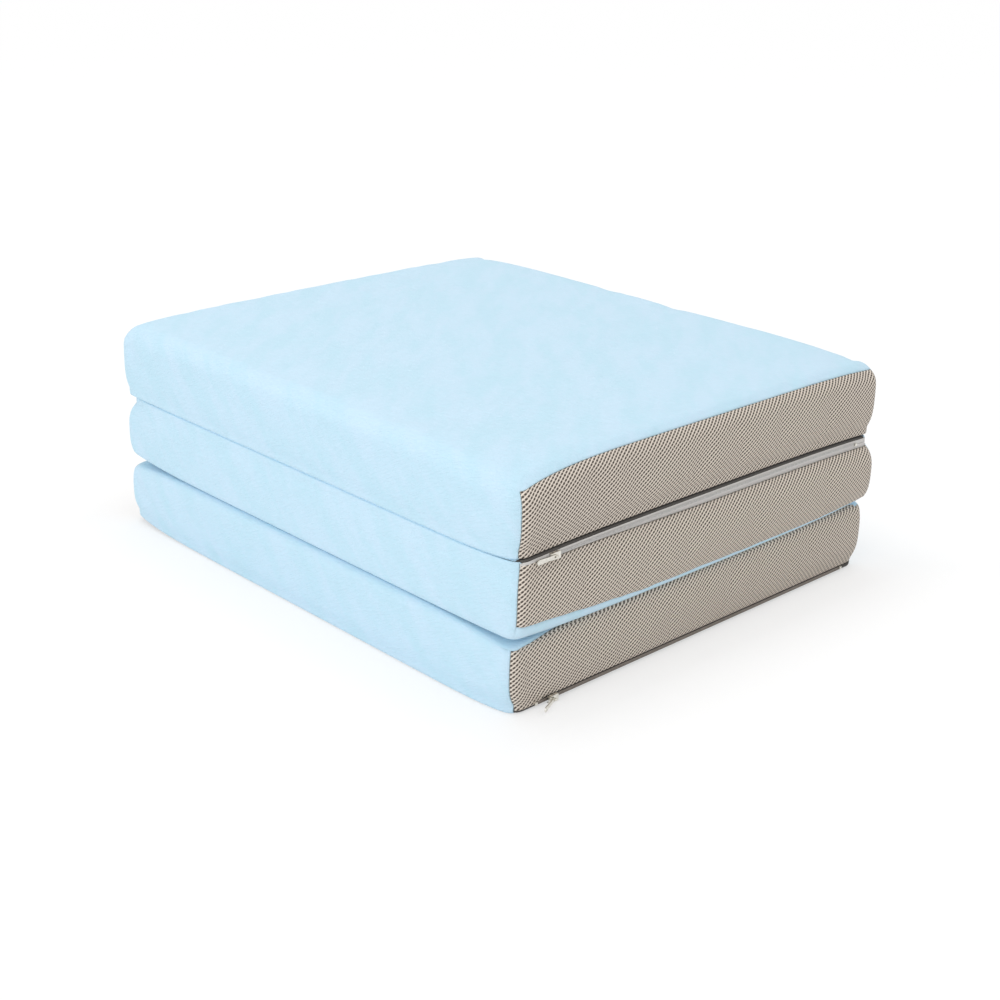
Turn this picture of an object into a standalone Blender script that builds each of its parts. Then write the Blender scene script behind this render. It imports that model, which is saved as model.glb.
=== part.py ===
"""A folding foam guest mattress, folded into a stack of three panels.

Metres, +Z up. The origin is the middle of the stack's base on the floor. X runs along the
panels, the way the mattress unfolds, and Y runs across its width. Every panel is modelled
in its own frame, base down with its zip on the -Y side, and its empty then stacks it: the
bottom panel lies as modelled, the middle one is turned over about Y, and the top one is
turned half round about Z. Rotating the two fold empties opens the mattress out flat.
"""
import math
from collections import namedtuple

import bmesh
import bpy
from mathutils import Matrix, Vector

PRODUCT = "folding_foam_mattress"

# A panel, with its nominal size over the straight walls of its cover
PANEL_LENGTH = 0.650
PANEL_WIDTH = 0.751
PANEL_THICKNESS = 0.0908
STACK_GAP = 0.0006
COMFORT_THICKNESS = 0.030

# The cover's fabric and what parts it from its neighbours
COVER_THICKNESS = 0.0020
SEAM_GAP = 0.0005
FOAM_CLEARANCE = 0.0008

# The soft shape: round corners and edges, walls that belly out, a crown, corners that hang
# down, and hinge walls whose edges are drawn in at the corners.
# The panels that carry others are pressed flatter and have tighter sleeping-side edges.
CORNER_RADIUS = 0.015
BASE_EDGE_RADIUS = 0.006
HINGE_WALL_BULGE = 0.0040
BELLY_POWER = 3.2
BELLY_TOP_MARGIN = 0.002
BELLY_STATION_SHARES = (0.06, 0.22, 0.5, 0.7)
CROWN_POWER = 2.5
CORNER_POWER = 6.0
TUCK_POWER = 12.0
FLAT_STEPS = 3
TUCK_START_SHARE = 0.90

# What differs between the panels: how far the hinge walls are drawn in at the corners, at
# the base and at the sleeping side, how far the mesh walls belly out, and how the sleeping
# side lies. One corner of the top panel, at its own +X +Y, has slumped.
BOTTOM_EDGE_RADIUS = 0.010
BOTTOM_CORNER_DROP = 0.010
BOTTOM_BASE_TUCK = 0.0145
BOTTOM_SLEEP_TUCK = 0.0050
BOTTOM_MESH_BULGE = 0.0028
MIDDLE_EDGE_RADIUS = 0.012
MIDDLE_CORNER_DROP = 0.011
MIDDLE_BASE_TUCK = 0.0100
MIDDLE_SLEEP_TUCK = 0.0030
MIDDLE_MESH_BULGE = 0.0079
TOP_EDGE_RADIUS = 0.018
TOP_CORNER_DROP = 0.0015
TOP_SLUMP = 0.0155
TOP_BASE_TUCK = 0.0020
TOP_SLEEP_TUCK = 0.0025
TOP_MESH_BULGE = 0.0060
TOP_CROWN = 0.0020
TOP_EDGE_LIFT = 0.0085

# The zip that closes a cover along the foot of one long wall
ZIP_HEIGHT = 0.0050
ZIP_TAPE_REACH = 0.0060
ZIP_LENGTH = 0.560
TOOTH_PITCH = 0.008
TOOTH_REACH = 0.0012
TOOTH_SPINE = 0.0014
TOOTH_THICKNESS = 0.0018
ZIP_RUNNING_GAP = 0.0004
ZIP_STOP_LENGTH = 0.004

# The zip's slider and its pull
SLIDER_LENGTH = 0.015
SLIDER_ROOF = 0.0012
SLIDER_CHEEK = 0.0012
SLIDER_TAPER_SHARE = 0.10
SLIDER_NOSE_SHARE = 0.25
BRIDGE_WIRE_RADIUS = 0.0006
PULL_LENGTH = 0.030
PULL_WIDTH = 0.0060
PULL_NECK_WIDTH = 0.0042
PULL_THICKNESS = 0.0012
PULL_EYE_LENGTH = 0.0034
PULL_EYE_WIDTH = 0.0022
PIVOT_CLEARANCE = 0.0003

# The fabric hinges between the panels
LEAF_THICKNESS = 0.0012
LEAF_END_SETBACK = 0.040
LEAF_STEPS = 8
FOLD_CLEARANCE = 0.0005
LEAF_TIP_GAP = 0.0002
LEAF_SEAT_GAP = 0.0003

# Distances from the slider's middle to the corner of the stack that it is parked by
BOTTOM_SLIDER_INSET = 0.066
MIDDLE_SLIDER_INSET = 0.061
TOP_SLIDER_INSET = 0.062
BOTTOM_PULL_LIFT = math.radians(24)

OVERRUN = 0.002
SMOOTH_ANGLE = math.radians(40)

HALF_LENGTH = PANEL_LENGTH / 2
HALF_WIDTH = PANEL_WIDTH / 2
FOAM_INSET = COVER_THICKNESS + FOAM_CLEARANCE
ZIP_SEAM_HEIGHT = ZIP_HEIGHT + ZIP_TAPE_REACH
FOLD_REACH = HALF_LENGTH + HINGE_WALL_BULGE + FOLD_CLEARANCE
PANEL_PITCH = PANEL_THICKNESS + STACK_GAP
ARC_SHARE = 1 - math.tan(math.pi / 8)
CHANNEL_HALF_WIDTH = TOOTH_REACH + TOOTH_SPINE + ZIP_RUNNING_GAP * 1.5
CHANNEL_TOP = 2 * ZIP_RUNNING_GAP + TOOTH_THICKNESS
SLIDER_TOP = CHANNEL_TOP + SLIDER_ROOF
PIVOT_HEIGHT = SLIDER_TOP + PIVOT_CLEARANCE + PULL_THICKNESS * math.sqrt(0.5)

Form = namedtuple("Form", "edge_radius corner_drop slump base_tuck sleep_tuck mesh_bulge "
                          "crown lift")
BOTTOM_FORM = Form(BOTTOM_EDGE_RADIUS, BOTTOM_CORNER_DROP, BOTTOM_CORNER_DROP,
                   BOTTOM_BASE_TUCK, BOTTOM_SLEEP_TUCK, BOTTOM_MESH_BULGE, 0.0, 0.0)
MIDDLE_FORM = Form(MIDDLE_EDGE_RADIUS, MIDDLE_CORNER_DROP, MIDDLE_CORNER_DROP,
                   MIDDLE_BASE_TUCK, MIDDLE_SLEEP_TUCK, MIDDLE_MESH_BULGE, 0.0, 0.0)
TOP_FORM = Form(TOP_EDGE_RADIUS, TOP_CORNER_DROP, TOP_SLUMP, TOP_BASE_TUCK,
                TOP_SLEEP_TUCK, TOP_MESH_BULGE, TOP_CROWN, TOP_EDGE_LIFT)

MINUS_Y = Vector((0, -1, 0))
PLUS_Y = Vector((0, 1, 0))
MINUS_X = Vector((-1, 0, 0))
PLUS_X = Vector((1, 0, 0))
UP = Vector((0, 0, 1))
DOWN = Vector((0, 0, -1))

MATERIALS = {
    "blue_knit": ((0.52, 0.80, 0.95), 0.90, 0.0),
    "air_mesh": ((0.42, 0.37, 0.33), 0.85, 0.0),
    "base_fabric": ((0.55, 0.55, 0.56), 0.90, 0.0),
    "support_foam": ((0.90, 0.89, 0.84), 0.95, 0.0),
    "comfort_foam": ((0.93, 0.88, 0.66), 0.95, 0.0),
    "zip_tape": ((0.62, 0.61, 0.61), 0.80, 0.0),
    "zip_teeth": ((0.66, 0.65, 0.64), 0.45, 0.0),
    "zip_metal": ((0.74, 0.72, 0.66), 0.35, 1.0),
}


def clear_scene():
    for thing in list(bpy.data.objects):
        bpy.data.objects.remove(thing)


def make_collection(name):
    collection = bpy.data.collections.new(name)
    bpy.context.scene.collection.children.link(collection)
    return collection


def make_material(name):
    colour, roughness, metallic = MATERIALS[name]
    material = bpy.data.materials.new(name)
    material.use_nodes = True
    shader = material.node_tree.nodes["Principled BSDF"]
    shader.inputs["Base Color"].default_value = (*colour, 1)
    shader.inputs["Roughness"].default_value = roughness
    shader.inputs["Metallic"].default_value = metallic
    return material


def round_off(inset, rise, radius):
    """Rounds the edge between a wall and a face. A point is given by how far it lies inside
    each. Nested boxes become nested round ones, so what was apart stays apart."""
    across, along = radius - inset, radius - rise
    if across <= 0 or along <= 0:
        return inset, rise
    shrink = max(across, along) / math.hypot(across, along)
    return radius - across * shrink, radius - along * shrink


def round_box(point, edge_radius):
    """The sharp panel box with its base, sleeping-side and upright edges rounded."""
    x, y, height = point
    inset = min(HALF_LENGTH - abs(x), HALF_WIDTH - abs(y))
    if height < PANEL_THICKNESS / 2:
        new_inset, height = round_off(inset, height, BASE_EDGE_RADIUS)
    else:
        new_inset, depth = round_off(inset, PANEL_THICKNESS - height, edge_radius)
        height = PANEL_THICKNESS - depth
    if new_inset != inset:
        x *= (HALF_LENGTH - new_inset) / (HALF_LENGTH - inset)
        y *= (HALF_WIDTH - new_inset) / (HALF_WIDTH - inset)
    across = abs(x) - (HALF_LENGTH - CORNER_RADIUS)
    along = abs(y) - (HALF_WIDTH - CORNER_RADIUS)
    if across > 0 and along > 0:
        shrink = max(across, along) / math.hypot(across, along)
        x = math.copysign(HALF_LENGTH - CORNER_RADIUS + across * shrink, x)
        y = math.copysign(HALF_WIDTH - CORNER_RADIUS + along * shrink, y)
    return x, y, height


def belly_shares(height):
    """How much of a wall's belly, of its base's tuck and of its sleeping side's tuck there
    is at this height. They add up to one."""
    free_wall = PANEL_THICKNESS - BELLY_TOP_MARGIN - ZIP_SEAM_HEIGHT
    share = min(max((height - ZIP_SEAM_HEIGHT) / free_wall, 0), 1)
    base = max(1 - 2 * share, 0) ** BELLY_POWER
    sleep = max(2 * share - 1, 0) ** BELLY_POWER
    return 1 - base - sleep, base, sleep


def near_side(y):
    """From nothing at the middle of a hinge wall to one at its ends."""
    return (abs(y) / HALF_WIDTH) ** TUCK_POWER


def soften(point, form):
    """Rounds a point of the sharp box, then bellies the walls, crowns the sleeping side and
    draws its corners down. One map serves the cover and the foam, so they nest."""
    x, y, height = round_box(point, form.edge_radius)
    along, across = abs(x) / HALF_LENGTH, abs(y) / HALF_WIDTH
    rise = (height / PANEL_THICKNESS) ** 2
    middle = (1 - along ** CROWN_POWER) * (1 - across ** CROWN_POWER)
    corner = (along * across) ** CORNER_POWER
    belly, at_base, at_sleep = belly_shares(height)
    bulge = HINGE_WALL_BULGE * belly * max(1 - across ** 4, 0)
    tuck = (form.base_tuck * at_base + form.sleep_tuck * at_sleep) * near_side(y)
    drop = form.slump if x > 0 and y > 0 else form.corner_drop
    x *= 1 + (bulge - tuck) / HALF_LENGTH
    y *= 1 + form.mesh_bulge * belly / HALF_WIDTH
    height += rise * (form.crown * middle + form.lift * (1 - corner) - drop * corner)
    return Vector((x, y, height))


def inset_point(point, depth):
    """Moves a point of the sharp box inwards, onto the box that lies depth inside it."""
    middle = PANEL_THICKNESS / 2
    return Vector((point.x * (HALF_LENGTH - depth) / HALF_LENGTH,
                   point.y * (HALF_WIDTH - depth) / HALF_WIDTH,
                   middle + (point.z - middle) * (middle - depth) / middle))


def across_stations(half, gap, form, extra=()):
    """Where a panel is divided from side to side: close at the rounding, wide between."""
    flat = half - CORNER_RADIUS
    turn = min(form.edge_radius, CORNER_RADIUS * ARC_SHARE)
    positive = [half - gap, half - turn, flat, flat * TUCK_START_SHARE, *extra]
    positive += [flat * step / FLAT_STEPS for step in range(1, FLAT_STEPS)]
    return sorted([-place for place in positive] + [0.0] + positive)


def wall_stations(low, high, form):
    """Where a wall is divided upwards, between its own two edges."""
    shoulder = PANEL_THICKNESS - form.edge_radius
    free_wall = PANEL_THICKNESS - BELLY_TOP_MARGIN - ZIP_SEAM_HEIGHT
    places = [BASE_EDGE_RADIUS, ZIP_SEAM_HEIGHT]
    places += [ZIP_SEAM_HEIGHT + free_wall * share for share in BELLY_STATION_SHARES]
    places += [shoulder, PANEL_THICKNESS - form.edge_radius * ARC_SHARE]
    return [low] + [place for place in places if low < place < high] + [high]


def stationed_block(lengthwise, widthwise, upwards):
    """A box between the first and last stations of each direction, cut at the others."""
    stations = (lengthwise, widthwise, upwards)
    low = Vector([places[0] for places in stations])
    high = Vector([places[-1] for places in stations])
    bm = bmesh.new()
    bmesh.ops.create_cube(bm, size=1)
    size = high - low
    bmesh.ops.scale(bm, vec=size, verts=bm.verts)
    bmesh.ops.translate(bm, vec=(low + high) / 2, verts=bm.verts)
    for axis, places in enumerate(stations):
        normal = Vector([1 if axis == other else 0 for other in range(3)])
        for place in places[1:-1]:
            geometry = bm.verts[:] + bm.edges[:] + bm.faces[:]
            bmesh.ops.bisect_plane(bm, geom=geometry, plane_co=normal * place, plane_no=normal)
    return bm


def remoteness(vertex):
    x, y, height = vertex.co
    return abs(x) / HALF_LENGTH + abs(y) / HALF_WIDTH + abs(2 * height / PANEL_THICKNESS - 1)


def split_quads(bm):
    """Splits each quad from the corner nearest the panel's middle to the one opposite, so
    that nested surfaces bend along the same lines and can't cut each other."""
    for face in [face for face in bm.faces if len(face.verts) == 4]:
        corners = list(face.verts)
        nearest = min(range(4), key=lambda place: round(remoteness(corners[place]), 5))
        bmesh.utils.face_split(face, corners[nearest], corners[nearest - 2])
    return bm


def fabric_from_faces(bm, normals):
    """Keeps the block's faces that look one of these ways and makes them fabric, mitred
    towards its neighbours at the panel's edges."""
    bm.normal_update()
    others = [face for face in bm.faces
              if all(face.normal.angle(normal) > SMOOTH_ANGLE for normal in normals)]
    bmesh.ops.delete(bm, geom=others, context="FACES")
    split_quads(bm)
    geometry = bm.verts[:] + bm.edges[:] + bm.faces[:]
    made = bmesh.ops.extrude_face_region(bm, geom=geometry, use_keep_orig=True)
    for item in made["geom"]:
        if isinstance(item, bmesh.types.BMVert):
            item.co = inset_point(item.co, COVER_THICKNESS)
    bmesh.ops.recalc_face_normals(bm, faces=bm.faces)
    return bm


def mesh_from(bm, name, form=None):
    """Finishes a bmesh, softened to its panel's form where it has one."""
    if form is not None:
        for vertex in bm.verts:
            vertex.co = soften(vertex.co, form)
    mesh = bpy.data.meshes.new(name)
    bm.to_mesh(mesh)
    bm.free()
    return mesh


def finish_object(name, data, material, parent, local=Matrix.Identity(4)):
    """Names an object, gives it its finish and puts it in its parent's frame."""
    thing = bpy.data.objects.new(name, data)
    thing.data.materials.append(material)
    if isinstance(data, bpy.types.Mesh):
        data.shade_smooth()
        data.set_sharp_from_angle(angle=SMOOTH_ANGLE)
    parts.objects.link(thing)
    thing.parent = parent
    thing.matrix_basis = local
    return thing


def finish_empty(name, parent, local):
    empty = bpy.data.objects.new(name, None)
    parts.objects.link(empty)
    empty.parent = parent
    empty.matrix_basis = local
    return empty


def foam_block(low, high, form):
    """A foam sheet between two heights, cut to the shape that the cover leaves for it."""
    shoulder = PANEL_THICKNESS - form.edge_radius
    flat_x, flat_y = HALF_LENGTH - CORNER_RADIUS, HALF_WIDTH - CORNER_RADIUS
    steps = [step / FLAT_STEPS for step in range(1 - FLAT_STEPS, FLAT_STEPS)]
    lengthwise = [-HALF_LENGTH, -flat_x, *[flat_x * share for share in steps], flat_x, HALF_LENGTH]
    widthwise = [-HALF_WIDTH, -flat_y, *[flat_y * share for share in steps], flat_y, HALF_WIDTH]
    upwards = [place for place in wall_stations(low, high, form)
               if place <= shoulder or place == high]
    bm = split_quads(stationed_block(lengthwise, widthwise, upwards))
    for vertex in bm.verts:
        vertex.co = inset_point(vertex.co, FOAM_INSET)
    return bm


def build_foam(panel, frame, form):
    split = PANEL_THICKNESS - COMFORT_THICKNESS
    support = mesh_from(foam_block(0, split, form), panel + "_support_foam", form)
    finish_object(panel + "_support_foam", support, finishes["support_foam"], frame)
    comfort = mesh_from(foam_block(split + FOAM_CLEARANCE, PANEL_THICKNESS, form),
                        panel + "_comfort_foam", form)
    finish_object(panel + "_comfort_foam", comfort, finishes["comfort_foam"], frame)


def fabric_piece(name, frame, form, finish, stations, normals):
    bm = fabric_from_faces(stationed_block(*stations), normals)
    return finish_object(name, mesh_from(bm, name, form), finishes[finish], frame)


def build_cover(panel, frame, form):
    """The knit cap over the sleeping side and both hinge walls, the two mesh walls, the
    base sheet, and the two tapes of the zip that runs along the foot of the -Y wall."""
    top = PANEL_THICKNESS - SEAM_GAP
    lengthwise = across_stations(HALF_LENGTH, SEAM_GAP, form)
    widthwise = across_stations(HALF_WIDTH, SEAM_GAP, form)
    full_length = across_stations(HALF_LENGTH, 0, form)
    full_width = across_stations(HALF_WIDTH, 0, form)
    fabric_piece(panel + "_sleeping_cover", frame, form, "blue_knit",
                 (full_length, widthwise, wall_stations(SEAM_GAP, PANEL_THICKNESS, form)),
                 (UP, MINUS_X, PLUS_X))
    fabric_piece(panel + "_mesh_wall", frame, form, "air_mesh",
                 (lengthwise, full_width, wall_stations(SEAM_GAP, top, form)), (PLUS_Y,))
    fabric_piece(panel + "_zipped_mesh_wall", frame, form, "air_mesh",
                 (lengthwise, full_width, wall_stations(ZIP_SEAM_HEIGHT + SEAM_GAP, top, form)),
                 (MINUS_Y,))
    base_length = across_stations(HALF_LENGTH, SEAM_GAP, form, (HALF_LENGTH - BASE_EDGE_RADIUS,))
    base_width = across_stations(HALF_WIDTH, SEAM_GAP, form, (HALF_WIDTH - BASE_EDGE_RADIUS,))
    fabric_piece(panel + "_base_sheet", frame, form, "base_fabric",
                 (base_length, base_width, (0, PANEL_THICKNESS)), (DOWN,))
    slit = ZIP_RUNNING_GAP / 2
    fabric_piece(panel + "_zip_tape_wall_side", frame, form, "zip_tape",
                 (lengthwise, full_width, wall_stations(ZIP_HEIGHT + slit, ZIP_SEAM_HEIGHT, form)),
                 (MINUS_Y,))
    fabric_piece(panel + "_zip_tape_base_side", frame, form, "zip_tape",
                 (lengthwise, full_width, wall_stations(SEAM_GAP, ZIP_HEIGHT - slit, form)),
                 (MINUS_Y,))


def flat_outline(name, outlines, thickness):
    """A flat piece: closed outlines, the second being a hole, drawn in X and Y."""
    curve = bpy.data.curves.new(name, "CURVE")
    curve.dimensions = "2D"
    curve.fill_mode = "BOTH"
    curve.extrude = thickness / 2
    for points in outlines:
        spline = curve.splines.new("POLY")
        spline.points.add(len(points) - 1)
        for target, (x, y) in zip(spline.points, points):
            target.co = (x, y, 0, 1)
        spline.use_cyclic_u = True
    return curve


def on_zip_wall(x, stand_off, height):
    """A frame on the zip's wall: its X along the zip, its Y up the wall, its Z outwards."""
    place = Matrix.Translation((x, -HALF_WIDTH - stand_off, height))
    return place @ Matrix.Rotation(math.pi / 2, 4, "X")


def tooth_row_outline(side):
    """One half of the zip's chain. Its teeth are a zigzag that the other half's follows,
    with the running gap between them. side is +1 on the wall's tape, -1 on the base's."""
    count = round(ZIP_LENGTH / TOOTH_PITCH)
    start = -count * TOOTH_PITCH / 2
    points = []
    for step in range(2 * count + 1):
        swing = TOOTH_REACH if step % 2 else -TOOTH_REACH
        points.append((start + step * TOOTH_PITCH / 2, swing + side * ZIP_RUNNING_GAP / 2))
    back = side * (TOOTH_REACH + TOOTH_SPINE + ZIP_RUNNING_GAP / 2)
    return points + [(-start, back), (start, back)]


def build_zip_chain(panel, frame):
    stand_off = ZIP_RUNNING_GAP + TOOTH_THICKNESS / 2
    local = on_zip_wall(0, stand_off, ZIP_HEIGHT)
    for label, side in (("wall_side", 1), ("base_side", -1)):
        name = panel + "_zip_teeth_" + label
        curve = flat_outline(name, [tooth_row_outline(side)], TOOTH_THICKNESS)
        finish_object(name, curve, finishes["zip_teeth"], frame, local)
    count = round(ZIP_LENGTH / TOOTH_PITCH)
    chain_end = count * TOOTH_PITCH / 2 + SEAM_GAP
    half_width = TOOTH_REACH + TOOTH_SPINE + ZIP_RUNNING_GAP / 2
    for label, side in (("closed", -1), ("open", 1)):
        name = panel + "_zip_stop_" + label
        inner, outer = side * chain_end, side * (chain_end + ZIP_STOP_LENGTH)
        outline = [(inner, -half_width), (outer, -half_width), (outer, half_width),
                   (inner, half_width)]
        curve = flat_outline(name, [outline], TOOTH_THICKNESS)
        finish_object(name, curve, finishes["zip_metal"], frame, local)


def mesh_from_object(thing, name):
    """A welded mesh of an object as it is evaluated, which then takes the object's place."""
    graph = bpy.context.evaluated_depsgraph_get()
    mesh = bpy.data.meshes.new_from_object(thing.evaluated_get(graph))
    mesh.name = name
    bm = bmesh.new()
    bm.from_mesh(mesh)
    bmesh.ops.remove_doubles(bm, verts=bm.verts, dist=PIVOT_CLEARANCE / 100)
    bmesh.ops.recalc_face_normals(bm, faces=bm.faces)
    bm.to_mesh(mesh)
    bm.free()
    bpy.data.objects.remove(thing)
    return mesh


def add_helper(name, data, local):
    """A shape that cuts or joins another, kept apart from the parts."""
    helper = bpy.data.objects.new(name, data)
    helper.matrix_basis = local
    helper.hide_render = True
    helper.display_type = "WIRE"
    cutters.objects.link(helper)
    return helper


def add_boolean(thing, helper, operation):
    modifier = thing.modifiers.new(operation.lower(), "BOOLEAN")
    modifier.operation = operation
    modifier.object = helper


def box_mesh(name, low, high):
    bm = stationed_block(*[(low[axis], high[axis]) for axis in range(3)])
    return mesh_from(bm, name)


def bridge_points(base, pivot):
    """The wire loop on the slider's back that the pull hangs on, in its length and height."""
    bar = PULL_THICKNESS * math.sqrt(0.5)
    reach = bar + PIVOT_CLEARANCE + BRIDGE_WIRE_RADIUS
    crest = pivot + reach
    return [(-reach, base), (-reach, pivot), (-reach * math.sqrt(0.5), crest),
            (reach * math.sqrt(0.5), crest), (reach, pivot), (reach, base)]


def build_slider(panel, frame, place):
    """The slider straddles the chain: a tapered shell with a channel along it, and a wire
    bridge on its back. Its own frame has X along the zip, towards the zip's middle from
    where the slider is parked, and Z outwards from the wall."""
    name = panel + "_zip_slider"
    half = SLIDER_LENGTH / 2
    wide = CHANNEL_HALF_WIDTH + SLIDER_CHEEK
    narrow = wide - SLIDER_CHEEK / 2
    nose = half * (1 - SLIDER_NOSE_SHARE)
    outline = [(-half, -narrow), (nose, -wide), (half, -wide * (1 - SLIDER_TAPER_SHARE)),
               (half, wide * (1 - SLIDER_TAPER_SHARE)), (nose, wide), (-half, narrow)]
    depth = SLIDER_TOP - ZIP_RUNNING_GAP
    blank = add_helper(name + "_blank", flat_outline(name + "_blank", [outline], depth),
                       Matrix.Identity(4))
    body = mesh_from_object(blank, name)
    body.transform(Matrix.Translation((0, 0, ZIP_RUNNING_GAP + depth / 2)))
    facing = Matrix.Rotation(math.pi if place > 0 else 0, 4, "Z")
    empty = finish_empty(name + "_place", frame, on_zip_wall(place, 0, ZIP_HEIGHT) @ facing)
    slider = finish_object(name, body, finishes["zip_metal"], empty)

    channel = box_mesh(name + "_channel", (-half - OVERRUN, -CHANNEL_HALF_WIDTH, -OVERRUN),
                       (half + OVERRUN, CHANNEL_HALF_WIDTH, CHANNEL_TOP))
    cutter = add_helper(name + "_channel", channel, Matrix.Identity(4))
    cutter.parent = empty
    add_boolean(slider, cutter, "DIFFERENCE")

    wire = bpy.data.curves.new(name + "_bridge", "CURVE")
    wire.dimensions = "3D"
    wire.bevel_depth = BRIDGE_WIRE_RADIUS
    wire.bevel_resolution = 1
    wire.use_fill_caps = True
    points = bridge_points(SLIDER_TOP - SLIDER_ROOF / 2, PIVOT_HEIGHT)
    spline = wire.splines.new("POLY")
    spline.points.add(len(points) - 1)
    for target, (x, height) in zip(spline.points, points):
        target.co = (x, 0, height, 1)
    loop = add_helper(name + "_bridge_wire", wire, Matrix.Identity(4))
    bridge = add_helper(name + "_bridge", mesh_from_object(loop, name + "_bridge"),
                        Matrix.Identity(4))
    bridge.parent = empty
    add_boolean(slider, bridge, "UNION")
    return empty


def pull_outlines():
    """The pull's plate: a bar on the pivot, an eye, and a tab that widens to a round end."""
    bar = PULL_THICKNESS / 2
    neck, wide = PULL_NECK_WIDTH / 2, PULL_WIDTH / 2
    eye_end = bar + PULL_EYE_LENGTH
    shoulder = eye_end + neck
    end_centre = PULL_LENGTH - wide
    outer = [(bar, -neck), (-shoulder, -neck)]
    for step in range(7):
        angle = math.pi * (step / 6 - 0.5)
        outer.append((-end_centre - wide * math.cos(angle), wide * math.sin(angle)))
    outer += [(-shoulder, neck), (bar, neck)]
    eye = PULL_EYE_WIDTH / 2
    hole = [(-bar, -eye), (-bar, eye), (-eye_end, eye), (-eye_end, -eye)]
    return [outer, hole]


def build_pull(panel, slider_frame, lift):
    """The pull turns about the bar under the bridge, so its origin is on that line. lift
    is how far it has swung up from the slider's back."""
    name = panel + "_zip_pull"
    curve = flat_outline(name, pull_outlines(), PULL_THICKNESS)
    local = Matrix.Translation((0, 0, PIVOT_HEIGHT)) @ Matrix.Rotation(lift, 4, "Y")
    finish_object(name, curve, finishes["zip_metal"], slider_frame, local)


def leaf_start(radius):
    """How far inside the wall a leaf's inner edge meets the cover's rounded edge."""
    rise = LEAF_THICKNESS + LEAF_SEAT_GAP
    return radius - math.sqrt(radius ** 2 - (radius - rise) ** 2)


def build_leaf(name, frame, form, at_base, side):
    """A strip of cover fabric sewn to a panel's edge, out to the fold line, where the next
    panel's strip meets it. side is the wall, at the panel's own -X or +X."""
    half_width = HALF_WIDTH - LEAF_END_SETBACK
    inner = HALF_LENGTH - leaf_start(BASE_EDGE_RADIUS if at_base else form.edge_radius)
    tuck = form.base_tuck if at_base else form.sleep_tuck
    outer = FOLD_REACH - LEAF_TIP_GAP
    low = 0 if at_base else PANEL_THICKNESS - LEAF_THICKNESS
    ends = sorted((side * inner, side * outer))
    widthwise = [half_width * (2 * step / LEAF_STEPS - 1) for step in range(LEAF_STEPS + 1)]
    bm = stationed_block(ends, widthwise, (low, low + LEAF_THICKNESS))
    for vertex in bm.verts:
        if abs(vertex.co.x) < HALF_LENGTH:
            vertex.co.x -= side * tuck * near_side(vertex.co.y)
    finish_object(name, mesh_from(bm, name), finishes["blue_knit"], frame)


def build_panel(panel, frame, form, slider_place, lift):
    build_foam(panel, frame, form)
    build_cover(panel, frame, form)
    build_zip_chain(panel, frame)
    slider_frame = build_slider(panel, frame, slider_place)
    build_pull(panel, slider_frame, lift)


clear_scene()
parts = make_collection(PRODUCT)
cutters = make_collection(PRODUCT + "_cutters")
finishes = {name: make_material(name) for name in MATERIALS}

FOLD_HEIGHT = PANEL_THICKNESS + STACK_GAP / 2

bottom = finish_empty("bottom_panel", None, Matrix.Identity(4))
middle_fold = finish_empty("middle_fold_axis", bottom,
                           Matrix.Translation((FOLD_REACH, 0, FOLD_HEIGHT)))
turned_over = Matrix.Translation((-FOLD_REACH, 0, PANEL_PITCH - STACK_GAP / 2))
middle = finish_empty("middle_panel", middle_fold,
                      turned_over @ Matrix.Rotation(math.pi, 4, "Y"))
top_fold = finish_empty("top_fold_axis", middle_fold,
                        Matrix.Translation((-2 * FOLD_REACH, 0, PANEL_PITCH)))
turned_round = Matrix.Translation((FOLD_REACH, 0, STACK_GAP / 2))
top = finish_empty("top_panel", top_fold, turned_round @ Matrix.Rotation(math.pi, 4, "Z"))

build_panel("bottom", bottom, BOTTOM_FORM, BOTTOM_SLIDER_INSET - HALF_LENGTH, BOTTOM_PULL_LIFT)
build_panel("middle", middle, MIDDLE_FORM, HALF_LENGTH - MIDDLE_SLIDER_INSET, 0.0)
build_panel("top", top, TOP_FORM, TOP_SLIDER_INSET - HALF_LENGTH, 0.0)

build_leaf("bottom_fold_leaf", bottom, BOTTOM_FORM, False, 1)
build_leaf("middle_lower_fold_leaf", middle, MIDDLE_FORM, False, -1)
build_leaf("middle_upper_fold_leaf", middle, MIDDLE_FORM, True, 1)
build_leaf("top_fold_leaf", top, TOP_FORM, True, 1)
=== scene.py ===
# %% [markdown]
# # A folding foam guest mattress, folded into a stack
#
# Three foam panels in zipped fabric covers lie on each other in a Z fold. The sleeping side
# and the two hinge walls of a cover are one pale blue knit cap. The long walls are taupe air
# mesh, and a zip runs along the foot of one of them. The folds are strips of the blue knit.
#
# The measured frame comes first. It already knows where each panel is, what it weighs and
# how it moves, so this lesson only dresses it.

# %% Load the measured frame
import math
from collections import namedtuple

import bpy
import numpy as np
from mathutils import Matrix, Vector


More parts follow.
